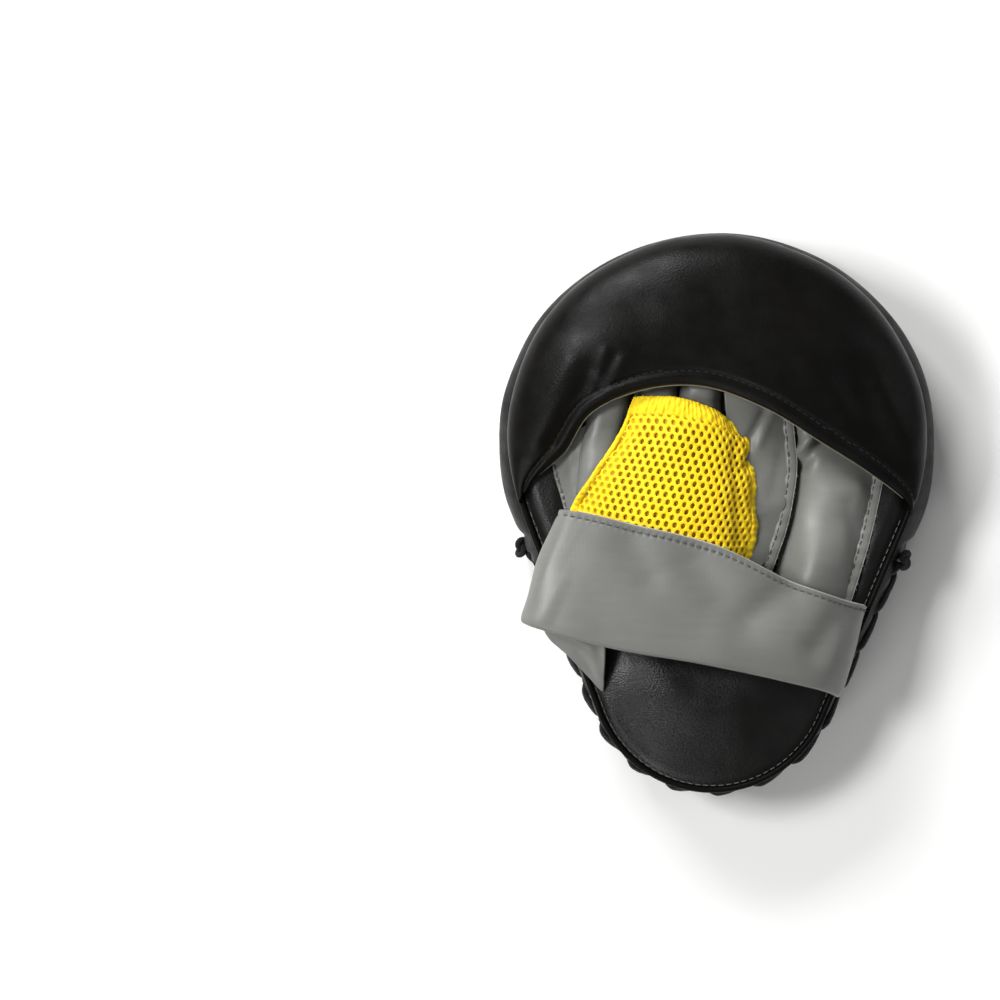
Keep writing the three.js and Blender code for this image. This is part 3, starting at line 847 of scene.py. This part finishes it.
def rolled_edge(outer, n):
    """The rows that turn round the hood's free edge, and the rows that go back under it."""
    columns = np.arange(outer.shape[1])
    ends = np.minimum(columns, columns[::-1])[:, None] / len(columns)
    half = 0.7 + (HOOD_T / 2 - 0.7) * smoothstep(ends, 0, 0.12)
    onward = unit(outer[-1] - outer[-4])
    turn = np.linspace(0, math.pi, 12)[1:, None, None]
    roll = outer[-1] - n[-1] * half + half * (np.cos(turn) * n[-1] + np.sin(turn) * onward)
    back = roll[-1] - onward * (np.linspace(1, 9, 6)[:, None, None] * smoothstep(ends, 0, 0.1) + 0.2)
    return roll, back


def hood():
    """The padded finger hood: leather that turns round the free edge, lining inside and a stitched hem."""
    outer, reach = hood_surface()
    n = normals(outer)
    roll, back = rolled_edge(outer, n)
    solid = shell(np.concatenate([outer, roll, back]), COVER_T)
    piece("hood_cover", solid, LEATHER_HOOD, "hood_shell", "hood_edge_binding")
    solid = shell(outer[6:-7, 12:-12], LINING_T, HOOD_T - 0.9)
    sheet("hood_inner_lining", solid, LINING, "hood_lining", flat=(0.190, 0.075), rests_on="hood_cover")
    at_hem = np.argmin(np.abs(reach - HEM), axis=0), np.arange(outer.shape[1])
    thread = stitches(outer[at_hem][8:-8], n[at_hem][8:-8], 0.26)
    piece("hood_hem_stitches", thread, THREAD_BLACK)
    # painted highlight: a thin pale cord on the turn of the rolled edge stands for the light line along it
    lip = roll[3] + (roll[3] - roll[4]) * 0.1 + (roll[3] - roll[9]) * 0.03
    piece("hood_edge_highlight_line", tube(lip[6:-6], 0.3, 8), EDGE_HIGHLIGHT_THREAD)
    side, side_up = line_on(outer, 0.045)
    piece("hood_seam_stitches", stitches(side[10:-10], side_up[10:-10]), THREAD_BLACK)


# ---- hand compartment ----

def grey_sheet(name, grid, node, flat):
    sheet(name, shell(grid, GREY_T), LEATHER_GREY, node, flat=flat, rests_on="back_cover")


def palm_cloth():
    rows = [
        [(-60, -66, 0.9), (-20, -68, 1.1), (20, -67, 0.9)],
        [(-61, 0, 0.9), (-18, 0, 1.3), (26, 0, 0.9)],
        [(-44, 50, 0.9), (-10, 54, 1.0), (22, 50, 0.9)],
    ]
    grid = loft(rows, 70, 90)
    grid[..., 2] += 0.15 * (1 + unevenness(grid, 18, 1.0, 21))
    solid = shell(grid, LINING_T)
    sheet("palm_cloth", solid, LINING, "palm_lining", flat=(0.080, 0.120), rests_on="back_cover", held="laid")


STALLS = [  # name, middle line from the mouth to the tip, half width, height and girth in metres
    ("little", [(-55.5, -24), (-54.5, -8), (-51, 14), (-47, 44)], 9.5, 15.5, 0.048),
    ("ring", [(-28, 12), (-28.5, 30), (-28, 46), (-27, 62)], 10.6, 19.5, 0.056),
    ("middle", [(-8, 12), (-8, 30), (-7.5, 48), (-7, 66)], 10.4, 20.5, 0.057),
    ("index", [(12, 16), (12.4, 28), (12.8, 44), (13, 62)], 10.2, 19.5, 0.056),
]


def finger_stalls():
    """Four soft tunnels side by side, wrinkled across where the fingers bend."""
    for number, (name, line, half, height, girth) in enumerate(STALLS):
        spine = curve([(x, y, 0) for x, y in line], np.linspace(0, 1, 70))
        side = unit(np.cross(np.gradient(spine, axis=0), UP))
        a = np.linspace(0, math.pi, 50)
        across = half * np.sign(np.cos(a)) * np.abs(np.cos(a)) ** 0.75
        up = height * np.abs(np.sin(a)) ** 0.62
        grid = spine[:, None] - side[:, None] * across[None, :, None]
        y = spine[:, 1][:, None]
        low_mouth = 0.45 * (1 - smoothstep(y, 14, 34)) if name == "index" else 0
        grid[..., 2] = Z + 1.0 + up[None] * (1 - low_mouth)
        deep = 0.3 if name == "little" else 0.7
        wrinkle = deep * np.sin(y * 0.42 + 2 * number + 1.3 * np.cos(a)[None]) * np.sin(a)[None] ** 2
        grid = lift(grid, wrinkle + unevenness(grid, 17, 0.45, 30 + number))
        length = abs(line[-1][1] - line[0][1]) * MM
        grey_sheet(f"{name}_finger_stall", grid, f"finger_stall_{name}", (girth, length))


def raw_strip(name, edge, up, outward, width):
    """The cut edge beyond a row of stitches: a narrow strip whose pale, frayed backing shows at its rim."""
    share = np.linspace(0, 1, 6)[:, None, None]
    wave = 0.25 * np.sin(np.arange(len(edge)) * 0.55)[:, None] * up
    grid = edge + wave + outward * width * share + up * 0.35 * np.sin(share * math.pi)
    if np.mean(normals(grid) @ UP) < 0:
        grid = grid[:, ::-1]
    piece(name, shell(grid, 0.8), LEATHER_GREY)
    rim_line = edge + wave + outward * (width + 0.15) - up * 0.35
    draw = np.random.RandomState(len(name))
    fibres = [tube(rim_line, 0.3, 6)]
    for k in draw.choice(np.arange(6, len(edge) - 6), 22, replace=False):
        lean = outward[k] * draw.uniform(0.3, 1.0) + (edge[k + 1] - edge[k]) * draw.uniform(-0.9, 0.9)
        step = unit(lean + up[k] * draw.uniform(-0.2, 0.6)) * draw.uniform(0.5, 1.3)
        bend = up[k] * draw.uniform(-0.3, 0.3)
        fibre = np.array([rim_line[k], rim_line[k] + step * 0.5 + bend, rim_line[k] + step])
        fibres.append(tube(fibre, 0.09, 5))
    piece(name + "_cut_rim", joined(fibres), RAW_EDGE)


def seam_line(points):
    """A line of [x, y, h] points as a path, with its up and its right-hand directions."""
    path = curve(np.array(points, float) + (0, 0, Z), np.linspace(0, 1, 120))
    forward = unit(np.gradient(path, axis=0))
    right = unit(np.cross(forward, UP))
    return path, np.cross(right, forward), right


def stitched_seam(stitches_name, strip_name, points, inset, width):
    """A row of grey stitches, and the cut edge that stands out to the left of them."""
    path, up, right = seam_line(points)
    piece(stitches_name, stitches(path, up), THREAD_GREY)
    raw_strip(strip_name, path - up * 0.3 + right * inset, up, -right, width)


def thumb_pocket():
    rows = [
        [(25, -72, 2), (30, -73, 5), (42, -75, 9.5), (54, -77, 7), (59.5, -78, 2)],
        [(28.5, -57, 2), (34, -58, 6.5), (45, -60, 13), (57.5, -61, 9), (64, -62, 2)],
        [(33.5, -34, 2), (39, -34, 7), (50, -34, 10.8), (62, -36, 8.5), (69.4, -39, 2)],
        [(36.5, -13, 2), (42, -13, 8.5), (53, -14, 11.5), (66, -17, 9.2), (73, -19, 2)],
        [(35.6, -4, 2), (41, -4, 10), (52, -7, 11), (65, -11, 8), (74, -14, 2)],
        [(34.6, 6, 2), (39.5, 6, 12), (51, 3, 8), (64, -2, 6), (75, -8, 2)],
        [(32.6, 20, 2), (38, 19, 13), (50, 14, 7), (64, 6, 5), (76, 0, 2)],
    ]
    grid = cloth(rows, 120, 150, [
        ((49, 12), (37, -4), 2.6, 2.4), ((52, 8), (40, -8), 3.2, -2.2), ((37, 12), (36, 2), 2.5, -0.9),
        ((40, -46), (58, -42), 7, 0.7), ((62, -26), (66, -50), 4, -0.8),
    ], 24, 0.35, 41)
    grey_sheet("thumb_pocket", grid, "thumb_stall", (0.056, 0.098))
    stitched_seam("thumb_seam_stitches", "thumb_seam_strip", [
        (30.4, 18, 8.6), (32.4, 3, 8.8), (33.6, -8, 8.8), (32.4, -22, 8.4), (29.8, -36, 8),
        (25.4, -50, 7.4), (21, -62, 6.4),
    ], 1.2, 4.7)
    stitched_seam("thumb_edge_stitches", "thumb_edge_strip", [
        (75, -4, 3.2), (73.4, -15, 3.2), (71, -28, 3.1), (67.5, -44, 3.0), (63.6, -58, 2.8), (59.4, -72, 2.6),
    ], 1.2, 4.8)


def index_panel():
    rows = [
        [(8, -60, 12), (17, -59, 10), (21, -56, 8.5), (25.4, -52, 6.6)],
        [(10, -34, 12), (19, -33, 10), (25, -33, 9), (30.6, -34, 7.4)],
        [(9, -12, 14), (18, -12, 11), (27, -12, 10), (34, -12, 8)],
        [(5, 10, 17), (16, 10, 15.5), (26, 10, 11.5), (32, 10, 8)],
        [(3, 28, 20.5), (13, 29, 20.5), (24, 27, 14), (29.5, 24, 8)],
        [(2, 42, 21.5), (13, 44, 22.5), (25, 41, 17), (31, 36, 9)],
    ]
    grid = cloth(rows, 80, 130, [
        ((22.5, 15), (14, 0), 3.0, -1.9), ((26, 20), (19, 2), 2.6, 1.2), ((20, -20), (29, -26), 4.5, 0.9),
        ((22, -36), (29, -42), 4.0, -0.8), ((30, -4), (26, -22), 3.0, -0.5),
    ], 20, 0.3, 52)
    grey_sheet("index_panel", grid, "knuckle_panel", (0.030, 0.089))


def little_side_strip():
    rows = [
        [(-68, -42, 2.0), (-65.5, -41, 3.2), (-60, -40, 4.5)],
        [(-71.6, -25, 2.2), (-67, -23, 5), (-61, -21, 8)],
        [(-75.6, -12, 2.4), (-69, -8, 6.5), (-61.5, -4, 10.5)],
        [(-77, -2, 3), (-70, 4, 7), (-61, 8, 11)],
    ]
    grid = cloth(rows, 40, 70, [((-68, -4), (-65, -30), 2.6, 0.7)], 12, 0.2, 61)
    grey_sheet("little_side_strip", grid, "side_strip", (0.017, 0.042))
    stitched_seam("side_strip_stitches", "side_strip_edge", [
        (-75.4, -8, 3.4), (-74.6, -13, 3.3), (-71.2, -24, 3.1), (-67.6, -36, 2.9),
    ], 1.0, 2.4)


# ---- air mesh ----

MESH_ROWS = [
    [(-68, -49, 9), (-50, -53, 22), (-22, -57, 27), (4, -58, 22), (17, -56, 8)],
    [(-67.5, -32, 11), (-48, -36, 23), (-20, -40, 28), (6, -42, 22), (18.6, -43, 8)],
    [(-58, -15, 20), (-43, -14, 25), (-20, -14, 29), (6, -15, 23), (18.4, -17, 9)],
    [(-45, 5, 20), (-33, 8, 25), (-14, 8, 28), (2, 5, 23), (15.4, 0, 11)],
    [(-38.4, 21.5, 20), (-31, 22, 23.5), (-18, 21.6, 25), (-4, 17.6, 22), (9, 9.5, 14.5)],
]
CELL = 3.9  # pitch of the holes
HOLE_WIDE, HOLE_TALL = 0.95, 1.3  # half sizes of a hole


MESH_CREASES = [
    ((-52, -8), (-64, -28), 5, -1.2), ((12, 2), (16, -44), 3.0, 0.9), ((8, 0), (11, -44), 2.4, -0.9),
    ((-40, 6), (-47, -4), 2.2, -1.0), ((16, -2), (13, -10), 2.4, -1.3), ((-30, -50), (-10, -20), 12, 0.8),
]


def sample(grid, x, y):
    """Points of a grid at fractional column x and row y."""
    i = np.clip(x.astype(int), 0, grid.shape[1] - 2)
    j = np.clip(y.astype(int), 0, grid.shape[0] - 2)
    fx, fy = (x - i)[..., None], (y - j)[..., None]
    low = grid[j, i] * (1 - fx) + grid[j, i + 1] * fx
    high = grid[j + 1, i] * (1 - fx) + grid[j + 1, i + 1] * fx
    return low * (1 - fy) + high * fy


def cloth_ruler(surface):
    """A function from millimetres along the cloth, measured from its middle column, to columns and rows."""
    spine = surface.shape[1] // 2
    steps = np.linalg.norm(np.diff(surface, axis=1), axis=2)
    across = np.concatenate([np.zeros((len(surface), 1)), np.cumsum(steps, 1)], 1)
    across -= across[:, spine : spine + 1]
    along = lengths(surface[:, spine])

    def place(x, y):
        row = np.interp(y, along, np.arange(len(along)))
        near = across[np.round(row).astype(int)]
        column = np.array([np.interp(a, line, np.arange(len(line)), -9, 9999) for a, line in zip(x, near)])
        return column, row

    return place, along[-1]


def lattice(surface):
    """The mesh's face: a ring of yarn round each of its staggered oval holes."""
    n = normals(surface)
    place, length = cloth_ruler(surface)
    a = np.arange(12) / 12 * 2 * math.pi
    to_side = 1 / np.cos(a % (math.pi / 3) - math.pi / 6)
    hexagon = np.stack([np.sin(a), np.cos(a)]) * to_side * CELL / 2
    oval = np.stack([np.sin(a) * HOLE_WIDE, np.cos(a) * HOLE_TALL])
    rings = [(0.0, -0.55), (0.04, -0.1), (0.2, 0.3), (0.5, 0.45), (1.0, 0.38)]
    row_step = CELL * math.sqrt(3) / 2
    points, outward, faces = [], [], []
    for row in range(1, int(length / row_step)):
        for column in range(-20, 20):
            cx, cy = (column + 0.5 * (row % 2)) * CELL, row * row_step
            columns, rows = place(cx + hexagon[0], cy + hexagon[1])
            if columns.min() < 2 or columns.max() > surface.shape[1] - 3 or rows.max() > len(surface) - 8:
                continue
            faces.append(quads(len(rings), 12, len(points) * 12, wrap=True))
            for share, height in rings:
                x, y = oval * (1 - share) + hexagon * share
                spot = place(cx + x, cy + y)
                up = unit(sample(n, *spot))
                points.append(sample(surface, *spot) + up * height)
                outward.append(up)
    return thick_sheet(*map(np.concatenate, (points, faces, outward)))


def mesh_rim(surface):
    """The mesh's cloth rolled over along its top and both sides, and gathered into fine ribs."""
    solids = []
    for strip, along in ((surface[-20:, :-9], 1), (surface[:-5, :9], 0), (surface[:-6, -13:], 0)):
        place = np.arange(strip.shape[along])
        across = np.linspace(0, math.pi, strip.shape[1 - along])
        ripple = 0.14 * np.sin(place * 0.8 + 1.3 * np.sin(place * 0.11))
        bulge = 0.45 + 0.75 * np.sin(across)
        height = bulge[:, None] + ripple if along else bulge + ripple[:, None]
        solids.append(shell(lift(strip, height + unevenness(strip, 3.6, 0.3, 77)), 2.0))
    return joined(solids)


def hand_mesh():
    """The yellow air mesh: its open face, the cloth behind the holes and the rolled rim."""
    surface = cloth(MESH_ROWS, 220, 180, MESH_CREASES, 22, 0.45, 71)
    rows, columns = surface.shape[:2]
    flat = (0.098, 0.072)
    sheet("hand_mesh_face", lattice(surface), MESH_YARN, "hand_mesh", flat=flat, rests_on="hand_mesh_inside",
          area=0.0060)
    from_side = np.minimum(np.arange(columns), 1.3 * np.arange(columns)[::-1]) / columns
    from_top = np.arange(rows)[::-1, None] / rows
    closed = 1 - smoothstep(np.minimum(from_side, 0.9 * from_top), 0.06, 0.2)
    inside = lift(surface, -1.6 + 1.15 * closed)[2:-2, 3:-3]
    # its darker olive colour is painted shade for the holes
    sheet("hand_mesh_inside", shell(inside, LINING_T), SHADED_MESH_INSIDE, flat=flat, rests_on="index_panel")
    piece("hand_mesh_rolled_rim", mesh_rim(surface), RIM_YARN)


# ---- wrist strap ----

STRAP_ROWS = [  # from the sewn end on the right, over the wrist, round the fold and back under as the tail
    [  # the top edge
        (71, -73, -0.8), (71, -73, 2.2), (63, -71, 14.5), (38, -63, 25), (0, -46, 30.5), (-40, -37, 30.5),
        (-60, -32.6, 29.5), (-67.5, -31.4, 27.8), (-71, -31.6, 23.5), (-69, -36, 18.5), (-63, -47, 18.2),
        (-56, -53, 20.6),
    ],
    [  # the middle
        (65, -94, -0.8), (65, -94, 2.2), (58, -91, 15.5), (34, -84, 26), (-2, -72, 32.5), (-42, -64, 32.5),
        (-69, -60, 31), (-77.5, -58, 28.5), (-81, -58, 23), (-77, -62, 17), (-66, -68, 17.8),
        (-55, -71, 20.4),
    ],
    [  # the bottom fold
        (58.6, -115.5, -0.8), (58.6, -115.5, 2.2), (53, -113, 12.5), (32, -108, 23), (-4, -101, 30.5),
        (-44, -95, 31), (-74, -88, 30.5), (-84.5, -85, 28), (-88, -83.5, 22), (-83, -84.5, 16.5),
        (-66, -87.5, 16), (-53, -90, 18.5),
    ],
]
STRAP_WIDE = 58.0
STRAP_STITCHED = 2.6  # from the strap's top edge to its stitches
STRAP_DIPS = [
    ((34, -66), (16, -80), 9, -3.2), ((60, -76), (48, -92), 8, -3.0), ((-8, -54), (2, -70), 10, -2.4),
    ((-38, -46), (-30, -60), 9, -1.7), ((36, -96), (6, -92), 12, 1.3), ((-66, -40), (-78, -78), 4.5, 0.7),
]


def strap_piece(name, solid, material, *nodes):
    """A piece of the strap, on no body, with its placement baked into its points."""
    obj = piece(name, solid, material, *nodes, body=None)
    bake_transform(obj)
    return obj


def strap():
    """The wide grey strap: two layers, stitched along the top edge and folded along the bottom."""
    middle = loft(STRAP_ROWS, 420, 70)
    along = np.linspace(0, 1, middle.shape[1])
    v = np.linspace(0, 1, len(middle))[:, None]
    over = 1 - smoothstep(along, 0.72, 0.8)
    middle = lift(middle, (folds(middle, STRAP_DIPS) + unevenness(middle, 44, 0.6, 81)) * over)
    near_fold = np.clip((1 - v) / 0.09, 0, 1)
    stitched = bell(v * STRAP_WIDE, STRAP_STITCHED, 1.1)
    puff = 0.15 * stitched * np.sin(along * 2 * math.pi * 205 / STITCH)
    half = 1.7 * np.sqrt(1 - (1 - near_fold) ** 2) * (1 - 0.35 * smoothstep(v, 0.5, 0))
    half = half - 0.5 * stitched + puff
    upper, lower = lift(middle, half + 0.02), lift(middle, -half - 0.02)
    skin = sleeve(np.concatenate([upper, lower[-2::-1]]))
    outer = strap_piece("strap", skin, LEATHER_GREY, "strap_band", "strap_tail")
    lining = shell(middle[4:-4, 12:290], 0.6, 2.6)
    inner = strap_piece("strap_inner_lining", lining, LINING, "strap_lining")
    line, up = (row[10:344] for row in line_on(upper, STRAP_STITCHED / STRAP_WIDE))
    strap_piece("strap_stitches", stitches(line + up * 0.2, up), THREAD_GREY)
    strap_piece("strap_edge_ply", tube(evenly(middle[0, 10:334], 1.5), 0.5, 8), RAW_EDGE)
    return middle


def hook_and_loop(tab, tail):
    """Loop tape on the tab, and hook tape on the strap's tail, which lies on it."""
    loop, hook = shell(tab, 0.9, -1.25), shell(tail, 0.9, -2.4)
    laid = {"flat": (0.018, 0.033), "held": "laid"}
    sheet("loop_tape", loop, LOOP_TAPE, "loop_patch", rests_on="anchor_tab_cloth", **laid)
    sheet("hook_tape", hook, HOOK_TAPE, "hook_patch", rests_on="loop_tape", body="strap", **laid)


def sleeve(skin):
    """A flattened sleeve of points, closed along its open side and at both ends."""
    rows, columns = skin.shape[:2]
    index = np.arange(rows * columns).reshape(rows, columns)
    seam = np.stack([index[-1, :-1], index[-1, 1:], index[0, 1:], index[0, :-1]], 1)
    faces = np.concatenate([quads(rows, columns), seam]).tolist()
    for column, step in ((0, 1), (columns - 1, -1)):
        ring = index[:, column]
        for k in range(rows // 2):
            face = [int(ring[k]), int(ring[k + 1]), int(ring[rows - 2 - k]), int(ring[rows - 1 - k])]
            face = list(dict.fromkeys(face))
            if len(face) > 2:
                faces.append(face[::step])
    return skin.reshape(-1, 3), faces


TAB_ROWS = [
    [(-55, -111.5, 1.8), (-52.8, -113.5, 1.8), (-50.5, -115.2, 1.8)],
    [(-66, -100, 4), (-58, -102, 7.5), (-50, -104, 9.5)],
    [(-77, -89.5, 8), (-63, -91.5, 12), (-50, -94, 14.5)],
    [(-80, -73, 9), (-66, -75, 13.6), (-52, -77, 16.5)],
    [(-75, -56, 8), (-64, -58, 13), (-54, -60, 16.5)],
]


def closure(strap_middle):
    """The tab that is sewn into the left seam, its plies, and the hook and loop tape under the strap."""
    tab = cloth(TAB_ROWS, 60, 120, [
        ((-62, -98), (-54, -110), 3.0, -0.8), ((-56, -96), (-52, -108), 2.5, 0.8),
        ((-70, -88), (-60, -94), 4.0, 0.6),
    ], 16, 0.25, 91)
    grey_sheet("anchor_tab_cloth", tab, "anchor_tab", (0.026, 0.066))
    for number, (inset, depth) in enumerate(((2, 1.5), (5, 2.9))):
        rows = tab[6 + 5 * number:-8, :-20]
        solid = shell(rows + unit(rows[:, :1] - rows[:, -1:]) * (1.6 - inset * 0.7), 0.9, depth)
        sheet(f"anchor_tab_ply_{number + 1}", solid, LEATHER_GREY, flat=(0.020, 0.056),
              rests_on="anchor_tab_cloth")
    hook_and_loop(tab[60:116, 18:58], strap_middle[30:62, 357:409])


# ---- inside the pad ----

def foam_core():
    """The foam is seen nowhere, so its CAD solids stay and only get a material."""
    for node in ("foam_striking_layer", "foam_core_layer", "foam_palm_layer", "hood_foam"):
        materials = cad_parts[node].data.materials
        materials.clear()
        materials.append(FOAM_GREY if node == "foam_core_layer" else FOAM_BLACK)


# ---- floor, light and camera ----

def studio():
    """A pale floor that can be looked through from below, soft lights and a light world."""
    floor_mesh = bpy.data.meshes.new("floor")
    floor_mesh.from_pydata([(-4, -4, 0), (4, -4, 0), (4, 4, 0), (-4, 4, 0)], [], [(0, 1, 2, 3)])
    floor = new_object("floor", floor_mesh)
    pale = Look("pale_floor", (0.93, 0.93, 0.92), 0.9)
    clear = pale.add("BsdfTransparent")
    behind = pale.add("NewGeometry").outputs["Backfacing"]
    shadow = pale.add("LightPath").outputs["Is Shadow Ray"]
    see_through = pale.maths("MAXIMUM", behind, shadow)
    both = pale.add("MixShader", {0: see_through, 1: pale.shader.outputs[0], 2: clear.outputs[0]})
    pale.give(pale.tree.nodes["Material Output"].inputs["Surface"], both.outputs[0])
    floor_mesh.materials.append(pale.material)
    world = bpy.data.worlds.new("studio")
    bpy.context.scene.world = world
    world.use_nodes = True
    sky = world.node_tree.nodes["Background"].inputs
    sky["Color"].default_value = (1, 1, 1, 1)
    sky["Strength"].default_value = 0.19
    for name, place, size, power in (
        ("key_light", (-1.3, 2.4, 1.7), (1.6, 1.0), 92),
        ("high_light", (-1.6, 0.35, 2.3), (0.8, 0.7), 52),
        ("low_light", (-1.2, -2.0, 1.8), (1.2, 0.8), 22),
        ("fill_light", (2.5, 0.6, 1.6), (1.2, 1.6), 6),
        ("under_light", (0.5, -0.8, -2.4), (1.6, 1.6), 34),
    ):
        data = bpy.data.lights.new(name, "AREA")
        data.shape = "RECTANGLE"
        data.size, data.size_y = size
        data.energy = power
        light = new_object(name, data)
        light.location = place
        light.rotation_euler = (-Vector(place)).to_track_quat("-Z", "Y").to_euler()
    bpy.context.scene.view_settings.view_transform = "Standard"


LENS = 220.0
SENSOR = 36.0
VIEW_WIDTH = 0.465  # metres across the picture, at the height of the back panel
LEAN = math.radians(1.2)  # the mitt's top leans to the right in the picture
AIM = Vector((-0.1002, -0.0272, 0.0445))  # the middle of the picture


def camera():
    """Straight above the mitt, and turned a little to the left, so that the mitt is right of the middle."""
    data = bpy.data.cameras.new("camera")
    data.lens = LENS
    data.sensor_width = SENSOR
    obj = new_object("camera", data)
    away = VIEW_WIDTH * LENS / SENSOR
    place = Vector((0, -0.03, AIM.z + away))
    back = (place - AIM).normalized()
    right = Vector((math.cos(LEAN), math.sin(LEAN), 0))
    up = back.cross(right).normalized()
    right = up.cross(back)
    turn = Matrix((right, up, back)).transposed().to_4x4()
    obj.matrix_world = Matrix.Translation(place) @ turn
    bpy.context.scene.camera = obj


camera()
studio()
striking_face()
target()
seams()
gusset()
lacing()
back_cover()
foam_core()
hood()
palm_cloth()
finger_stalls()
thumb_pocket()
index_panel()
little_side_strip()
hand_mesh()
closure(strap())
